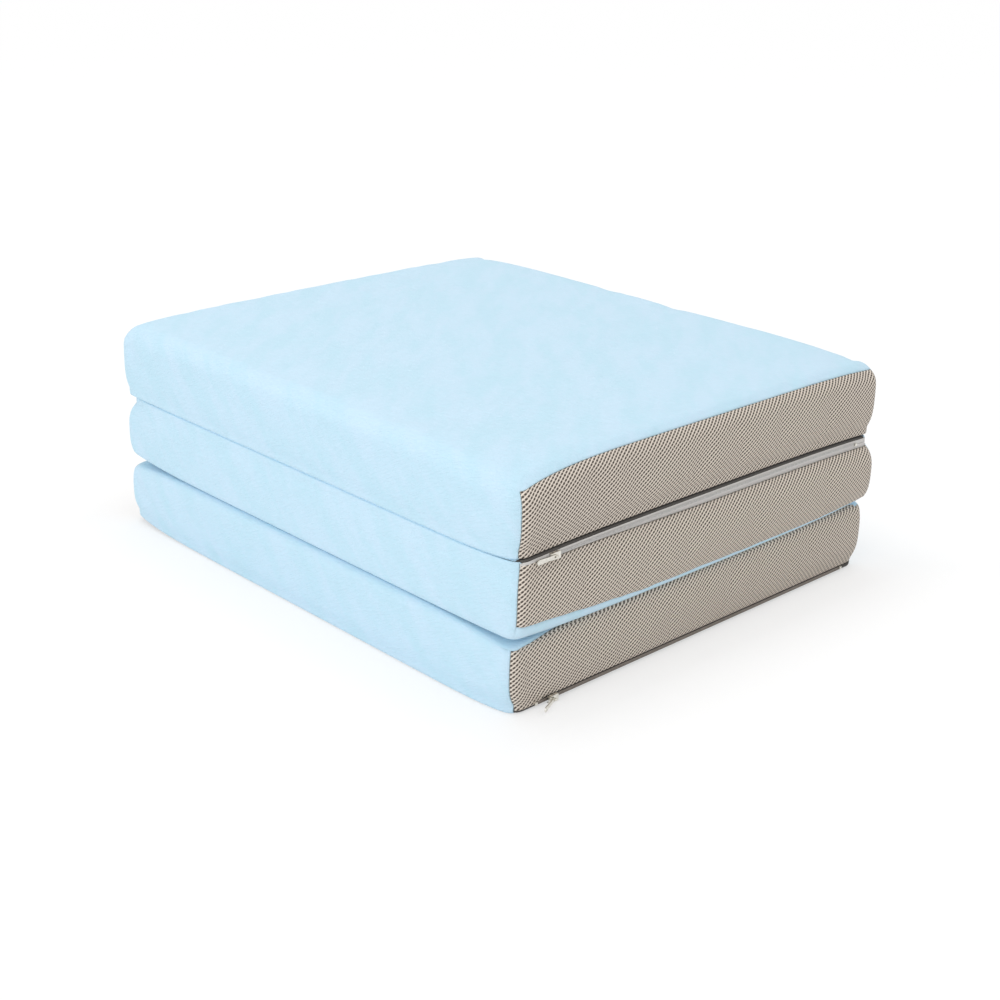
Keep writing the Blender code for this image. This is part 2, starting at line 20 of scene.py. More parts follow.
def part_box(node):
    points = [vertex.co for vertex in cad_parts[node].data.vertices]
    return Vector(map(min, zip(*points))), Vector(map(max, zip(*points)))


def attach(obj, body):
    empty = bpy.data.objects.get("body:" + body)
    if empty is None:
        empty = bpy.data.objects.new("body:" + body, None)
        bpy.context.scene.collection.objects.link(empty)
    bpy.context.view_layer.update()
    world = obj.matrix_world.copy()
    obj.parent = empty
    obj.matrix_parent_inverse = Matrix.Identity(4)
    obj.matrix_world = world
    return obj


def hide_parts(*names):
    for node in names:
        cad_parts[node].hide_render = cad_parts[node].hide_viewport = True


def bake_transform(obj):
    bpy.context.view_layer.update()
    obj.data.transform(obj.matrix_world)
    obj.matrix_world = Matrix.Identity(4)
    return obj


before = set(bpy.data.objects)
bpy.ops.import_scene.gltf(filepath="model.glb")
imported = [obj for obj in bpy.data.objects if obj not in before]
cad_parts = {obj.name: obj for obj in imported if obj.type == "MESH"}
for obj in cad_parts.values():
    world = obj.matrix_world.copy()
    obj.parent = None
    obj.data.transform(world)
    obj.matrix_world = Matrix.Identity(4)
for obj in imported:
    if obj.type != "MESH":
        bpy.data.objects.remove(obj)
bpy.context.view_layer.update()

# %% [markdown]
# ## The camera
#
# The photograph looks down on one corner of the stack. A camera can be set by eye, or worked
# out from edges whose true lengths are known. The second way was used here: the seams of the
# three panels give the place, the two angles, a small roll and the focal length together.

# %% Camera
CAMERA_PLACE = (-1.4473, -1.5151, 0.8956)
CAMERA_AZIMUTH = math.radians(45.975)
CAMERA_DOWN = math.radians(21.7375)
CAMERA_ROLL = math.radians(1.39)
FOCAL_PIXELS = 1671.6
PICTURE_PIXELS = 1000
SENSOR_MM = 36.0


def aim_camera():
    forward = Vector((math.cos(CAMERA_AZIMUTH) * math.cos(CAMERA_DOWN),
                      math.sin(CAMERA_AZIMUTH) * math.cos(CAMERA_DOWN), -math.sin(CAMERA_DOWN)))
    right = forward.cross(Vector((0, 0, 1))).normalized()
    up = right.cross(forward)
    turned_right = math.cos(CAMERA_ROLL) * right + math.sin(CAMERA_ROLL) * up
    turned_up = math.cos(CAMERA_ROLL) * up - math.sin(CAMERA_ROLL) * right
    axes = Matrix((turned_right, turned_up, -forward)).transposed().to_4x4()
    return Matrix.Translation(CAMERA_PLACE) @ axes


lens = bpy.data.cameras.new("camera")
lens.sensor_width = SENSOR_MM
lens.lens = FOCAL_PIXELS / PICTURE_PIXELS * SENSOR_MM
lens.clip_start, lens.clip_end = 0.05, 50.0
camera = bpy.data.objects.new("camera", lens)
camera.matrix_world = aim_camera()
bpy.context.scene.collection.objects.link(camera)
bpy.context.scene.camera = camera
print("lens", round(lens.lens, 1), "mm")

# %% [markdown]
# ## Floor and light
#
# The stack stands on a white sweep in soft, even light. The light could come from a few
# lamps, or from the whole surroundings. A bright, pale world gives the even part, and one
# wide lamp from the left and one above shape the edges. To the camera the floor is mostly
# plain white, and the rest of it takes the stack's soft shadow, more of it close by.

# %% World, floor and lamps
WORLD_LIGHT = 0.80
SHADOW_FAR, SHADOW_NEAR = 0.20, 0.50
SHADOW_FADE_START, SHADOW_FADE_LENGTH = 0.04, 0.12
STACK_HALF_X, STACK_HALF_Y = 0.33, 0.38
FLOOR_WHITENESS = 1.06
FLOOR_HALF, FLOOR_DROP = 15.0, 0.0005
WHITE, MATT_WHITE = (1.0, 1.0, 1.0, 1), (0.93, 0.93, 0.93, 1)


def node_tree(owner):
    owner.use_nodes = True
    owner.node_tree.nodes.clear()
    return owner.node_tree


def add_node(tree, kind, **values):
    """A node with its settings and its unlinked sockets filled in."""
    node = tree.nodes.new(kind)
    for name, value in values.items():
        if hasattr(node, name):
            setattr(node, name, value)
        else:
            node.inputs[name.replace("_", " ")].default_value = value
    return node


def math_node(tree, operation, *values):
    """One sum on numbers and sockets; returns the socket of its result."""
    node = add_node(tree, "ShaderNodeMath", operation=operation)
    for socket, value in zip(node.inputs, values):
        if isinstance(value, (int, float)):
            socket.default_value = value
        else:
            tree.links.new(value, socket)
    return node.outputs[0]


def seen_directly(tree):
    """1 for what the camera, a glossy surface or a clear one looks at."""
    path = add_node(tree, "ShaderNodeLightPath")
    camera_ray, glossy_ray, clear_ray = [path.outputs[f"Is {kind} Ray"]
                                         for kind in ("Camera", "Glossy", "Transmission")]
    first = math_node(tree, "MAXIMUM", camera_ray, glossy_ray)
    return math_node(tree, "MAXIMUM", first, clear_ray)


def shadow_share(tree):
    """How much of the floor takes shadow: more beside the stack, less further out."""
    split = add_node(tree, "ShaderNodeSeparateXYZ")
    tree.links.new(add_node(tree, "ShaderNodeNewGeometry").outputs["Position"], split.inputs[0])
    beside = [math_node(tree, "SUBTRACT", math_node(tree, "ABSOLUTE", split.outputs[axis]), half)
              for axis, half in ((0, STACK_HALF_X), (1, STACK_HALF_Y))]
    out = math_node(tree, "SUBTRACT", math_node(tree, "MAXIMUM", *beside), SHADOW_FADE_START)
    near = math_node(tree, "SUBTRACT", 1.0, math_node(tree, "DIVIDE", out, SHADOW_FADE_LENGTH))
    near.node.use_clamp = True
    return math_node(tree, "MULTIPLY_ADD", near, SHADOW_NEAR - SHADOW_FAR, SHADOW_FAR)


def mix_shaders(tree, share, first, second, output_kind):
    """Sends a mix of two shaders to the tree's output."""
    mix = add_node(tree, "ShaderNodeMixShader")
    for socket, source in zip(mix.inputs, (share, first.outputs[0], second.outputs[0])):
        tree.links.new(source, socket)
    tree.links.new(mix.outputs[0], add_node(tree, output_kind).inputs["Surface"])


world = bpy.data.worlds.new("pale_room")
bpy.context.scene.world = world
tree = node_tree(world)
mix_shaders(tree, seen_directly(tree),
            add_node(tree, "ShaderNodeBackground", Color=WHITE, Strength=WORLD_LIGHT),
            add_node(tree, "ShaderNodeBackground", Color=WHITE, Strength=1.0),
            "ShaderNodeOutputWorld")

sweep = bpy.data.materials.new("white_sweep")
tree = node_tree(sweep)
whiteness = math_node(tree, "MULTIPLY", seen_directly(tree),
                      math_node(tree, "SUBTRACT", 1.0, shadow_share(tree)))
mix_shaders(tree, whiteness, add_node(tree, "ShaderNodeBsdfDiffuse", Color=MATT_WHITE),
            add_node(tree, "ShaderNodeEmission", Color=WHITE, Strength=FLOOR_WHITENESS),
            "ShaderNodeOutputMaterial")

floor_mesh = bpy.data.meshes.new("floor")
floor_mesh.from_pydata([(FLOOR_HALF * x, FLOOR_HALF * y, 0)
                        for x, y in ((-1, -1), (1, -1), (1, 1), (-1, 1))], [], [(0, 1, 2, 3)])
floor_mesh.materials.append(sweep)
floor = bpy.data.objects.new("floor", floor_mesh)
floor.location.z = -FLOOR_DROP
bpy.context.scene.collection.objects.link(floor)


def add_lamp(name, place, watts, size):
    data = bpy.data.lights.new(name, "AREA")
    data.energy, data.size, data.shape = watts, size, "DISK"
    lamp = bpy.data.objects.new(name, data)
    lamp.location = place
    lamp.rotation_euler = (-Vector(place)).to_track_quat("-Z", "Y").to_euler()
    bpy.context.scene.collection.objects.link(lamp)


add_lamp("wide_left", (-3.2, -0.6, 2.0), 26.0, 2.4)
add_lamp("wide_top", (-0.3, 0.4, 3.4), 22.0, 3.0)
bpy.context.scene.view_settings.view_transform = "Standard"
print("world light", WORLD_LIGHT, "and", len(bpy.data.lights), "lamps")

# %% [markdown]
# ## Finishes
#
# Every cloth here is flat cut, so its weave is drawn in the cloth's own metres, which a UV
# map carries. Each pattern is made of a few sums on those two numbers: it keeps its true
# size on every wall and needs no picture.

# %% Helpers that draw patterns in the cloth's own metres
CLOTH_MAP = "cloth"


def cloth_place(tree):
    """Where a point is on its flat cloth: along and up, in metres."""
    place = add_node(tree, "ShaderNodeUVMap", uv_map=CLOTH_MAP)
    parts = add_node(tree, "ShaderNodeSeparateXYZ")
    tree.links.new(place.outputs[0], parts.inputs[0])
    return parts.outputs[0], parts.outputs[1]


def wave(tree, value, pitch, shift=0.0):
    """A smooth ripple from 0 to 1 with this pitch."""
    turns = math_node(tree, "MULTIPLY_ADD", value, math.tau / pitch, shift)
    return math_node(tree, "MULTIPLY_ADD", math_node(tree, "COSINE", turns), 0.5, 0.5)


def to_middle(tree, value):
    """How far a number is from the nearest whole one, from 0 to a half."""
    part = math_node(tree, "FRACT", math_node(tree, "ADD", value, 0.5))
    return math_node(tree, "ABSOLUTE", math_node(tree, "SUBTRACT", part, 0.5))


def smooth_step(tree, value, low, high):
    node = add_node(tree, "ShaderNodeMapRange", interpolation_type="SMOOTHSTEP",
                    From_Min=low, From_Max=high)
    tree.links.new(value, node.inputs["Value"])
    return node.outputs["Result"]


def soft_noise(tree, size, detail=2.0):
    """Cloudy variation, its clouds about this many metres across."""
    where = add_node(tree, "ShaderNodeTexCoord")
    noise = add_node(tree, "ShaderNodeTexNoise", Scale=1 / size, Detail=detail, Roughness=0.55)
    tree.links.new(where.outputs["Object"], noise.inputs["Vector"])
    return noise.outputs["Fac"]


def colour_between(tree, share, first, second):
    node = add_node(tree, "ShaderNodeMix", data_type="RGBA")
    tree.links.new(share, node.inputs[0])
    for socket, value in ((node.inputs[6], first), (node.inputs[7], second)):
        if isinstance(value, tuple):
            socket.default_value = (*value, 1)
        else:
            tree.links.new(value, socket)
    return node.outputs[2]


def finish(name, roughness, metallic=0.0, sheen=0.0):
    """A new finish with its shader, ready for a colour and a relief."""
    material = bpy.data.materials.new(name)
    tree = node_tree(material)
    shader = add_node(tree, "ShaderNodeBsdfPrincipled", Roughness=roughness,
                      Metallic=metallic, Sheen_Weight=sheen, Sheen_Roughness=0.5)
    out = add_node(tree, "ShaderNodeOutputMaterial")
    tree.links.new(shader.outputs[0], out.inputs["Surface"])
    return material, tree, shader


def paint(tree, shader, share, dark, light):
    """Gives the shader a colour between two, by this share."""
    tree.links.new(colour_between(tree, share, dark, light), shader.inputs["Base Color"])


def relief(tree, shader, height, depth, strength=1.0):
    bump = add_node(tree, "ShaderNodeBump", Strength=strength, Distance=depth)
    tree.links.new(height, bump.inputs["Height"])
    tree.links.new(bump.outputs["Normal"], shader.inputs["Normal"])


# %% [markdown]
# The knit is a fine brushed jersey: rows of tiny loops, 2 mm apart along the cloth and
# 1.6 mm across, hardly seen from two steps away. Broad, faint bands of painted shade, where
# the cloth lies in slow waves, break up its blue.

# %% Blue knit
BRUSH_SLANT = math.radians(152)
KNIT_BLUE = (0.606, 0.796, 0.942)
KNIT_SHADE = (0.540, 0.778, 0.905)


def streaks(tree, along, up, slant, length, width, detail=2.0):
    """Noise drawn out along one slanting direction of the cloth."""
    cosine, sine = math.cos(slant), math.sin(slant)
    run = math_node(tree, "MULTIPLY_ADD", up, sine / length,
                    math_node(tree, "MULTIPLY", along, cosine / length))
    cross = math_node(tree, "MULTIPLY_ADD", up, cosine / width,
                      math_node(tree, "MULTIPLY", along, -sine / width))
    place = add_node(tree, "ShaderNodeCombineXYZ")
    tree.links.new(run, place.inputs[0])
    tree.links.new(cross, place.inputs[1])
    noise = add_node(tree, "ShaderNodeTexNoise", Scale=1.0, Detail=detail, Roughness=0.6)
    tree.links.new(place.outputs[0], noise.inputs["Vector"])
    return noise.outputs["Fac"]


def make_knit():
    material, tree, shader = finish("blue_knit", 0.92, sheen=0.12)
    along, up = cloth_place(tree)
    lean = math_node(tree, "MULTIPLY", wave(tree, along, 0.0020), 0.0007)
    rows = wave(tree, math_node(tree, "ADD", up, lean), 0.0016)
    loops = math_node(tree, "MULTIPLY", rows, wave(tree, along, 0.0020))
    brushed = smooth_step(tree, streaks(tree, along, up, BRUSH_SLANT, 0.014, 0.0026), 0.35, 0.68)
    grain = math_node(tree, "MULTIPLY_ADD", brushed, 1.6, math_node(tree, "MULTIPLY", loops, 0.5))
    relief(tree, shader, grain, 0.0006, 0.5)
    # Painted shade: broad, faint diagonal bands where the cloth's slow waves would shade it, in
    # colour only
    clouds = smooth_step(tree, streaks(tree, along, up, math.radians(48), 0.13, 0.034, 3.0),
                         0.36, 0.66)
    # The brushed streaks' own darker tone, mixed with the painted wave shade
    knit_tone_and_painted_wave_shade = math_node(tree, "MULTIPLY_ADD", math_node(tree, "SUBTRACT", 1.0, brushed), 0.30,
                     math_node(tree, "MULTIPLY", clouds, 0.70))
    paint(tree, shader, knit_tone_and_painted_wave_shade, KNIT_BLUE, KNIT_SHADE)
    return material


knit = make_knit()
print("made", knit.name)

# %% [markdown]
# The air mesh is a spacer fabric: thick light strands with slanted slots between them. The
# slots' near-black is painted shade in the openings, and each strand is painted lighter on
# its crest, a painted highlight, and darker on its sides, a painted shade.
# The slots stand in staggered rows, 6.7 mm apart along the wall and 5.3 mm up it. With one
# axis along the strands and one across, the rows become a plain grid of whole numbers.

# %% Taupe air mesh
MESH_ACROSS = 0.0067
MESH_UP = 0.0053
# Strand colours with painted light: the crest colour is a painted highlight, the side colour
# painted shade; the slot colour is painted shade in the openings
MESH_STRAND_LIT_CREST = (0.900, 0.805, 0.705)
MESH_STRAND_SHADED_SIDE = (0.560, 0.495, 0.425)
MESH_SLOT_SHADE = (0.075, 0.058, 0.046)


def make_air_mesh():
    material, tree, shader = finish("air_mesh", 0.85, sheen=0.05)
    along, up = cloth_place(tree)
    across = math_node(tree, "DIVIDE", along, MESH_ACROSS)
    rise = math_node(tree, "DIVIDE", up, MESH_UP)
    with_strand = to_middle(tree, math_node(tree, "ADD", across, rise))
    past_strand = to_middle(tree, math_node(tree, "SUBTRACT", across, rise))
    long_way = math_node(tree, "POWER", math_node(tree, "DIVIDE", with_strand, 0.44), 2.0)
    short_way = math_node(tree, "POWER", math_node(tree, "DIVIDE", past_strand, 0.30), 2.0)
    from_slot = math_node(tree, "SQRT", math_node(tree, "ADD", long_way, short_way))
    strand = smooth_step(tree, from_slot, 0.70, 1.08)
    crest = smooth_step(tree, past_strand, 0.22, 0.48)
    fuzz = soft_noise(tree, 0.0015, 3.0)
    height = math_node(tree, "MULTIPLY_ADD", crest, 0.5, strand)
    relief(tree, shader, math_node(tree, "MULTIPLY_ADD", fuzz, 0.15, height), 0.0010, 0.7)
    # Painted highlight on each strand's crest, painted shade on its sides
    strand_lit_and_shaded = colour_between(tree, crest, MESH_STRAND_SHADED_SIDE, MESH_STRAND_LIT_CREST)
    # The slots get painted shade
    paint(tree, shader, strand, MESH_SLOT_SHADE, strand_lit_and_shaded)
    return material


air_mesh = make_air_mesh()
print("mesh pitch in mm", MESH_ACROSS * 1000, "by", MESH_UP * 1000)

# %% [markdown]
# The rest are plainer: a charcoal woven underside, a dark cloth whose dark also paints the
# shade in the gap where two panels' undersides meet, the zip's ribbed tape, its moulded
# teeth, pale nickel for the slider and pull, and the two foams, whose cells show as fine
# pores. The bottom zip lies in the shade by the floor, where it shows as a dark line, so
# that shade is painted into darker finishes for its tape and teeth.

# %% Base cloth, tape, teeth, metal and foams
def make_woven(name, dark, light, pitch):
    material, tree, shader = finish(name, 0.9, sheen=0.05)
    along, up = cloth_place(tree)
    warp, weft = wave(tree, along, pitch), wave(tree, up, pitch, math.pi / 2)
    cloth = math_node(tree, "MAXIMUM", warp, weft)
    relief(tree, shader, cloth, 0.0004, 0.6)
    paint(tree, shader, cloth, dark, light)
    return material


def make_pored(name, dark, light, pore):
    material, tree, shader = finish(name, 0.95)
    pores = smooth_step(tree, soft_noise(tree, pore, 3.0), 0.35, 0.6)
    relief(tree, shader, pores, 0.0006, 0.7)
    paint(tree, shader, pores, dark, light)
    return material


def make_worn(name, dark, light, roughness, metallic):
    material, tree, shader = finish(name, roughness, metallic)
    marks = soft_noise(tree, 0.003, 4.0)
    relief(tree, shader, marks, 0.0001, 0.3)
    paint(tree, shader, smooth_step(tree, marks, 0.3, 0.7), dark, light)
    return material


# Blender adds a number to a name that the measured frame already uses.
FINISHES = {material.name.split(".")[0]: material for material in (
    knit, air_mesh,
    # Charcoal underside: a dark cloth, whose dark also paints the shade in the gap where the top
    # and middle panels' undersides meet
    make_woven("base_fabric", (0.060, 0.055, 0.051), (0.125, 0.117, 0.108), 0.0016),
    make_woven("zip_tape", (0.52, 0.505, 0.49), (0.74, 0.72, 0.70), 0.0011),
    # Painted shade: the bottom zip's tape, darkened for the shade by the floor
    make_woven("zip_tape_dark", (0.042, 0.038, 0.034), (0.078, 0.071, 0.065), 0.0011),
    make_worn("zip_teeth", (0.46, 0.45, 0.44), (0.60, 0.59, 0.57), 0.45, 0.0),
    # Painted shade: the bottom zip's teeth, darkened for the shade by the floor
    make_worn("zip_teeth_dark", (0.15, 0.125, 0.105), (0.21, 0.18, 0.155), 0.45, 0.0),
    make_worn("zip_metal", (0.66, 0.64, 0.58), (0.84, 0.82, 0.76), 0.30, 1.0),
    make_pored("support_foam", (0.70, 0.68, 0.60), (0.88, 0.86, 0.79), 0.0022),
    make_pored("comfort_foam", (0.80, 0.68, 0.40), (0.90, 0.82, 0.56), 0.0014))}
print(len(FINISHES), "finishes")

# %% [markdown]
# ## The form of a panel
#
# A foam panel starts as a sharp box. Its cover rounds every edge, bellies the walls, crowns
# the sleeping side and draws the corners down and in. These moves could be sculpted one by
# one. Written as one map from the sharp box to the soft panel, they keep the pieces of the
# cover and the foam inside it nested, whatever shape comes out.

# %% Sizes, in metres, as in the measured frame
PANEL_LENGTH, PANEL_WIDTH, THICKNESS = 0.650, 0.751, 0.0908
HALF_LENGTH, HALF_WIDTH = PANEL_LENGTH / 2, PANEL_WIDTH / 2
STACK_GAP = 0.0006
PITCH = THICKNESS + STACK_GAP
COMFORT_THICKNESS = 0.030
COVER_THICKNESS = 0.0020
SEAM_GAP = 0.0005
CORNER_RADIUS = 0.015
HINGE_WALL_BULGE = 0.0040
HINGE_WALL_KNEE, HINGE_WALL_ROOM = 0.0018, 0.0024
BELLY_POWER, BELLY_TOP_MARGIN = 3.2, 0.002
CROWN_POWER, CORNER_POWER, TUCK_POWER = 2.5, 6.0, 12.0
ZIP_HEIGHT, ZIP_TAPE_REACH = 0.0050, 0.0060
ZIP_SEAM_HEIGHT = ZIP_HEIGHT + ZIP_TAPE_REACH
BASE_EDGE_RADIUS = 0.0035

FOOT_TUCK_SHARE = 0.6
TINY = 1e-9

Form = namedtuple("Form", "edge_radius corner_drop right_drop slump base_tuck sleep_tuck "
                          "mesh_bulge crown lift sleep_bow base_bow corner_in foot_lift front")
FORMS = {
    "bottom": Form(0.0075, 0.0110, 0.0035, 0.0125, 0.0115, 0.0036,
                   0.0022, 0.0, 0.0, -0.0052, 0.0, 0.0, 0.0090, (-1, -1)),
    "middle": Form(0.0080, 0.0085, 0.0045, 0.0020, 0.0108, 0.0010,
                   0.0075, 0.0, 0.0, 0.0052, -0.0044, 0.0, 0.0, (1, -1)),
    "top": Form(0.0195, -0.0005, -0.0015, 0.0150, 0.0018, 0.0015,
                0.0054, 0.0008, 0.0090, 0.0, 0.0044, 0.0115, 0.0, (1, 1)),
}


def round_off(inset, rise, radius):
    """Rounds the edge between a wall and a face, given how far points lie inside each."""
    across, along = radius - inset, radius - rise
    rounded = (across > 0) & (along > 0)
    reach = np.maximum(np.hypot(across, along), TINY)
    shrink = np.where(rounded, np.maximum(across, along) / reach, 1.0)
    return (np.where(rounded, radius - across * shrink, inset),
            np.where(rounded, radius - along * shrink, rise))


def round_box(points, edge_radius):
    x, y, height = points.T.copy()
    inset = np.minimum(HALF_LENGTH - abs(x), HALF_WIDTH - abs(y))
    low_inset, low = round_off(inset, height, BASE_EDGE_RADIUS)
    high_inset, depth = round_off(inset, THICKNESS - height, edge_radius)
    below = height < THICKNESS / 2
    new_inset = np.where(below, low_inset, high_inset)
    height = np.where(below, low, THICKNESS - depth)
    x *= (HALF_LENGTH - new_inset) / np.maximum(HALF_LENGTH - inset, TINY)
    y *= (HALF_WIDTH - new_inset) / np.maximum(HALF_WIDTH - inset, TINY)
    from_x, from_y = round_off(HALF_LENGTH - abs(x), HALF_WIDTH - abs(y), CORNER_RADIUS)
    return np.sign(x) * (HALF_LENGTH - from_x), np.sign(y) * (HALF_WIDTH - from_y), height


def soften(points, form):
    """The map from the sharp box to the soft panel."""
    x, y, height = round_box(points, form.edge_radius)
    along, across = abs(x) / HALF_LENGTH, abs(y) / HALF_WIDTH
    rise = (height / THICKNESS) ** 2
    middle = (1 - along ** CROWN_POWER) * (1 - across ** CROWN_POWER)
    corner = (along * across) ** CORNER_POWER
    free_wall = THICKNESS - BELLY_TOP_MARGIN - ZIP_SEAM_HEIGHT
    share = np.clip((height - ZIP_SEAM_HEIGHT) / free_wall, 0, 1)
    at_base = np.maximum(1 - 2 * share, 0) ** BELLY_POWER
    at_sleep = np.maximum(2 * share - 1, 0) ** BELLY_POWER
    belly = 1 - at_base - at_sleep
    bulge = HINGE_WALL_BULGE * belly * np.maximum(1 - across ** 4, 0)
    tuck = (form.base_tuck * at_base + form.sleep_tuck * at_sleep) * across ** TUCK_POWER
    near_x, near_y = x * form.front[0] > 0, y * form.front[1] > 0
    front = near_x & near_y
    tuck += form.corner_in * front * across ** TUCK_POWER
    left_foot = near_x & ~near_y
    tuck -= FOOT_TUCK_SHARE * form.foot_lift * left_foot * at_base * across ** TUCK_POWER
    drop = np.where(front, form.slump,
                    np.where(near_y & ~near_x, form.right_drop, form.corner_drop))
    x = x * (1 + (bulge - tuck) / HALF_LENGTH)
    y = y * (1 + form.mesh_bulge * belly / HALF_WIDTH)
    long_run = np.maximum(1 - along ** 4, 0)
    height = height + rise * (form.crown * middle + form.lift * (1 - corner) - drop * corner) \
        + long_run * (rise * form.sleep_bow + (1 - rise) * form.base_bow) \
        + left_foot * (1 - rise) * corner * form.foot_lift
    return np.stack([x, y, height], axis=1)


def inset_points(points, depths):
    """Moves points of the sharp box inwards, each onto the box that lies its depth inside."""
    centre = np.array([0, 0, THICKNESS / 2])
    half_box = np.array([HALF_LENGTH, HALF_WIDTH, THICKNESS / 2])
    return centre + (points - centre) * (1 - depths[:, None] / half_box)


print("corner of a panel, in mm",
      (1000 * soften(np.array([[HALF_LENGTH, HALF_WIDTH, THICKNESS]]), FORMS["top"])).round(1))

# %% [markdown]
# ## Cutting the cover's pieces
#
# Each piece of a cover is a patch of the box's skin. A lattice of stations, close together
# at the edges and wide in the middle, gives its corners a number each, so patches that wrap
# round an edge share their corners there. That is easier to keep clean than a remesh.

# %% Stations and patches
EDGE_ZONE = 0.034
TURN_UNDER = {HALF_LENGTH: 0.0045, HALF_WIDTH: 0.0010}
FINE_STEP, WIDE_STEP, WALL_STEP = 0.0034, 0.0125, 0.0042
SIDES = ("-x", "+x", "-y", "+y", "base", "sleep")


def fill(breaks, steps):
    """Stations from the first break to the last, no further apart than each zone's step."""
    places = [breaks[0]]
    for low, high, step in zip(breaks, breaks[1:], steps):
        count = max(1, math.ceil((high - low) / step - 1e-6))
        places += [low + (high - low) * k / count for k in range(1, count + 1)]
    return np.array(places)


def across_stations(half, gap=0.0):
    """Stations from side to side, with a few close ones where a seam dips."""
    turned = half - TURN_UNDER[half]
    seam = sorted([half - 0.0062, half - 0.0026, turned - SEAM_GAP, turned, half - gap])
    half_way = fill([0.0, half - EDGE_ZONE, *seam], [WIDE_STEP, FINE_STEP] + [0.0020] * 4)
    return np.concatenate([-half_way[:0:-1], half_way])


def wall_stations(low, high, extra=()):
    near = sorted([low, low + 0.0011, low + 0.0025, high - 0.0025, high - 0.0011, high, *extra])
    return fill(near, [0.002 if k in (0, 1, len(near) - 3, len(near) - 2) else WALL_STEP
                       for k in range(len(near) - 1)])


# For each side: the fixed axis, which end of it, the two running axes, and whether a quad
# has to be turned round to face outwards.
LAYOUT = {"-x": (0, 0, 1, 2, True), "+x": (0, -1, 1, 2, False),
          "-y": (1, 0, 0, 2, False), "+y": (1, -1, 0, 2, True),
          "base": (2, 0, 0, 1, True), "sleep": (2, -1, 0, 1, False)}


def patch(stations, sides, keep=None):
    """The lattice corners and quads of these sides of a box, each quad facing outwards.
    keep says which quads stay, from the side and the quad's middle."""
    index, quads, owners = {}, [], []
    for side in sides:
        fixed, end, first, second, flip = LAYOUT[side]
        ends = len(stations[fixed]) - 1 if end else 0
        for a in range(len(stations[first]) - 1):
            for b in range(len(stations[second]) - 1):
                middle = [0.0, 0.0, 0.0]
                middle[first] = (stations[first][a] + stations[first][a + 1]) / 2
                middle[second] = (stations[second][b] + stations[second][b + 1]) / 2
                if keep and not keep(side, middle):
                    continue
                ring = []
                for da, db in ((0, 0), (1, 0), (1, 1), (0, 1)):
                    key = [0, 0, 0]
                    key[fixed], key[first], key[second] = ends, a + da, b + db
                    ring.append(index.setdefault(tuple(key), len(index)))
                quads.append(ring[::-1] if flip else ring)
                owners.append(side)
    keys = np.array(list(index))
    points = np.stack([stations[axis][keys[:, axis]] for axis in range(3)], axis=1)
    return points, quads, owners, keys


lattice = patch((across_stations(HALF_LENGTH), across_stations(HALF_WIDTH),
                 wall_stations(0, THICKNESS)), SIDES)
print("corners of a whole skin", len(lattice[0]))

# %% [markdown]
# ## Letting the cloth settle
#
# Real cloth over foam is never quite true: it swells between its seams and lies in broad,
# faint waves where it is a little long. Noise could fake that, but a cloth simulation gets
# the waves to stop at seams and corners by itself. A coarse skin of each panel is held at
# its seams, given a little extra cloth and blown up; only the change is kept, capped, and
# added to the form.

# %% Simulate one panel's skin
SETTLE_STEP, SETTLE_WALL_STEP = 0.016, 0.013
SETTLE_FRAMES = 20
SETTLE_CAP = {"-x": 0.0022, "+x": 0.0022, "-y": 0.0026, "+y": 0.0026, "base": 0.0,
              "sleep": 0.0030}
FOAM_HOLD = 0.15
CLOTH_SETTINGS = {
    "quality": 6, "mass": 0.3, "tension_stiffness": 20, "compression_stiffness": 20,
    "shear_stiffness": 10, "bending_stiffness": 2.0, "shrink_min": -0.012,
    "use_pressure": True, "uniform_pressure_force": 4.0, "vertex_group_mass": "held",
    "pin_stiffness": 4.0}


def coarse_stations():
    def across(half):
        half_way = fill([0.0, half - 0.030, half], [SETTLE_STEP, 0.010])
        return np.concatenate([-half_way[:0:-1], half_way])
    return (across(HALF_LENGTH), across(HALF_WIDTH),
            fill([0.0, ZIP_SEAM_HEIGHT, THICKNESS], [ZIP_SEAM_HEIGHT, SETTLE_WALL_STEP]))


def held_share(points):
    """1 where the cover is sewn or pressed down, less where only the foam holds it."""
    x, y, height = points.T
    at_x, at_y = abs(x) > HALF_LENGTH - 1e-6, abs(y) > HALF_WIDTH - 1e-6
    low, high = height < ZIP_SEAM_HEIGHT + 1e-6, height > THICKNESS - 1e-6
    sewn = (at_x & at_y) | low | (at_y & high)
    return np.where(sewn, 1.0, FOAM_HOLD)


def settle(form):
    """How far each corner of the coarse skin moves when the cloth settles."""
    points, quads, owners, keys = patch(coarse_stations(), SIDES)
    start = soften(points, form)
    mesh = bpy.data.meshes.new("settling")
    mesh.from_pydata(start.tolist(), [], quads)
    skin = bpy.data.objects.new("settling", mesh)
    bpy.context.scene.collection.objects.link(skin)
    held = skin.vertex_groups.new(name="held")
    for corner, share in enumerate(held_share(points)):
        held.add([corner], float(share), "REPLACE")
    cloth = skin.modifiers.new("cloth", "CLOTH")
    for setting, value in CLOTH_SETTINGS.items():
        setattr(cloth.settings, setting, value)
    cloth.settings.effector_weights.gravity = 0
    cloth.collision_settings.use_self_collision = False
    scene = bpy.context.scene
    scene.frame_start, scene.frame_end = 1, SETTLE_FRAMES
    cloth.point_cache.frame_start, cloth.point_cache.frame_end = 1, SETTLE_FRAMES
    for step in range(1, SETTLE_FRAMES + 1):
        scene.frame_set(step)
    graph = bpy.context.evaluated_depsgraph_get()
    settled = np.empty(len(points) * 3)
    skin.evaluated_get(graph).data.vertices.foreach_get("co", settled)
    scene.frame_set(1)
    bpy.data.objects.remove(skin)
    return points, owners, quads, settled.reshape(-1, 3) - start


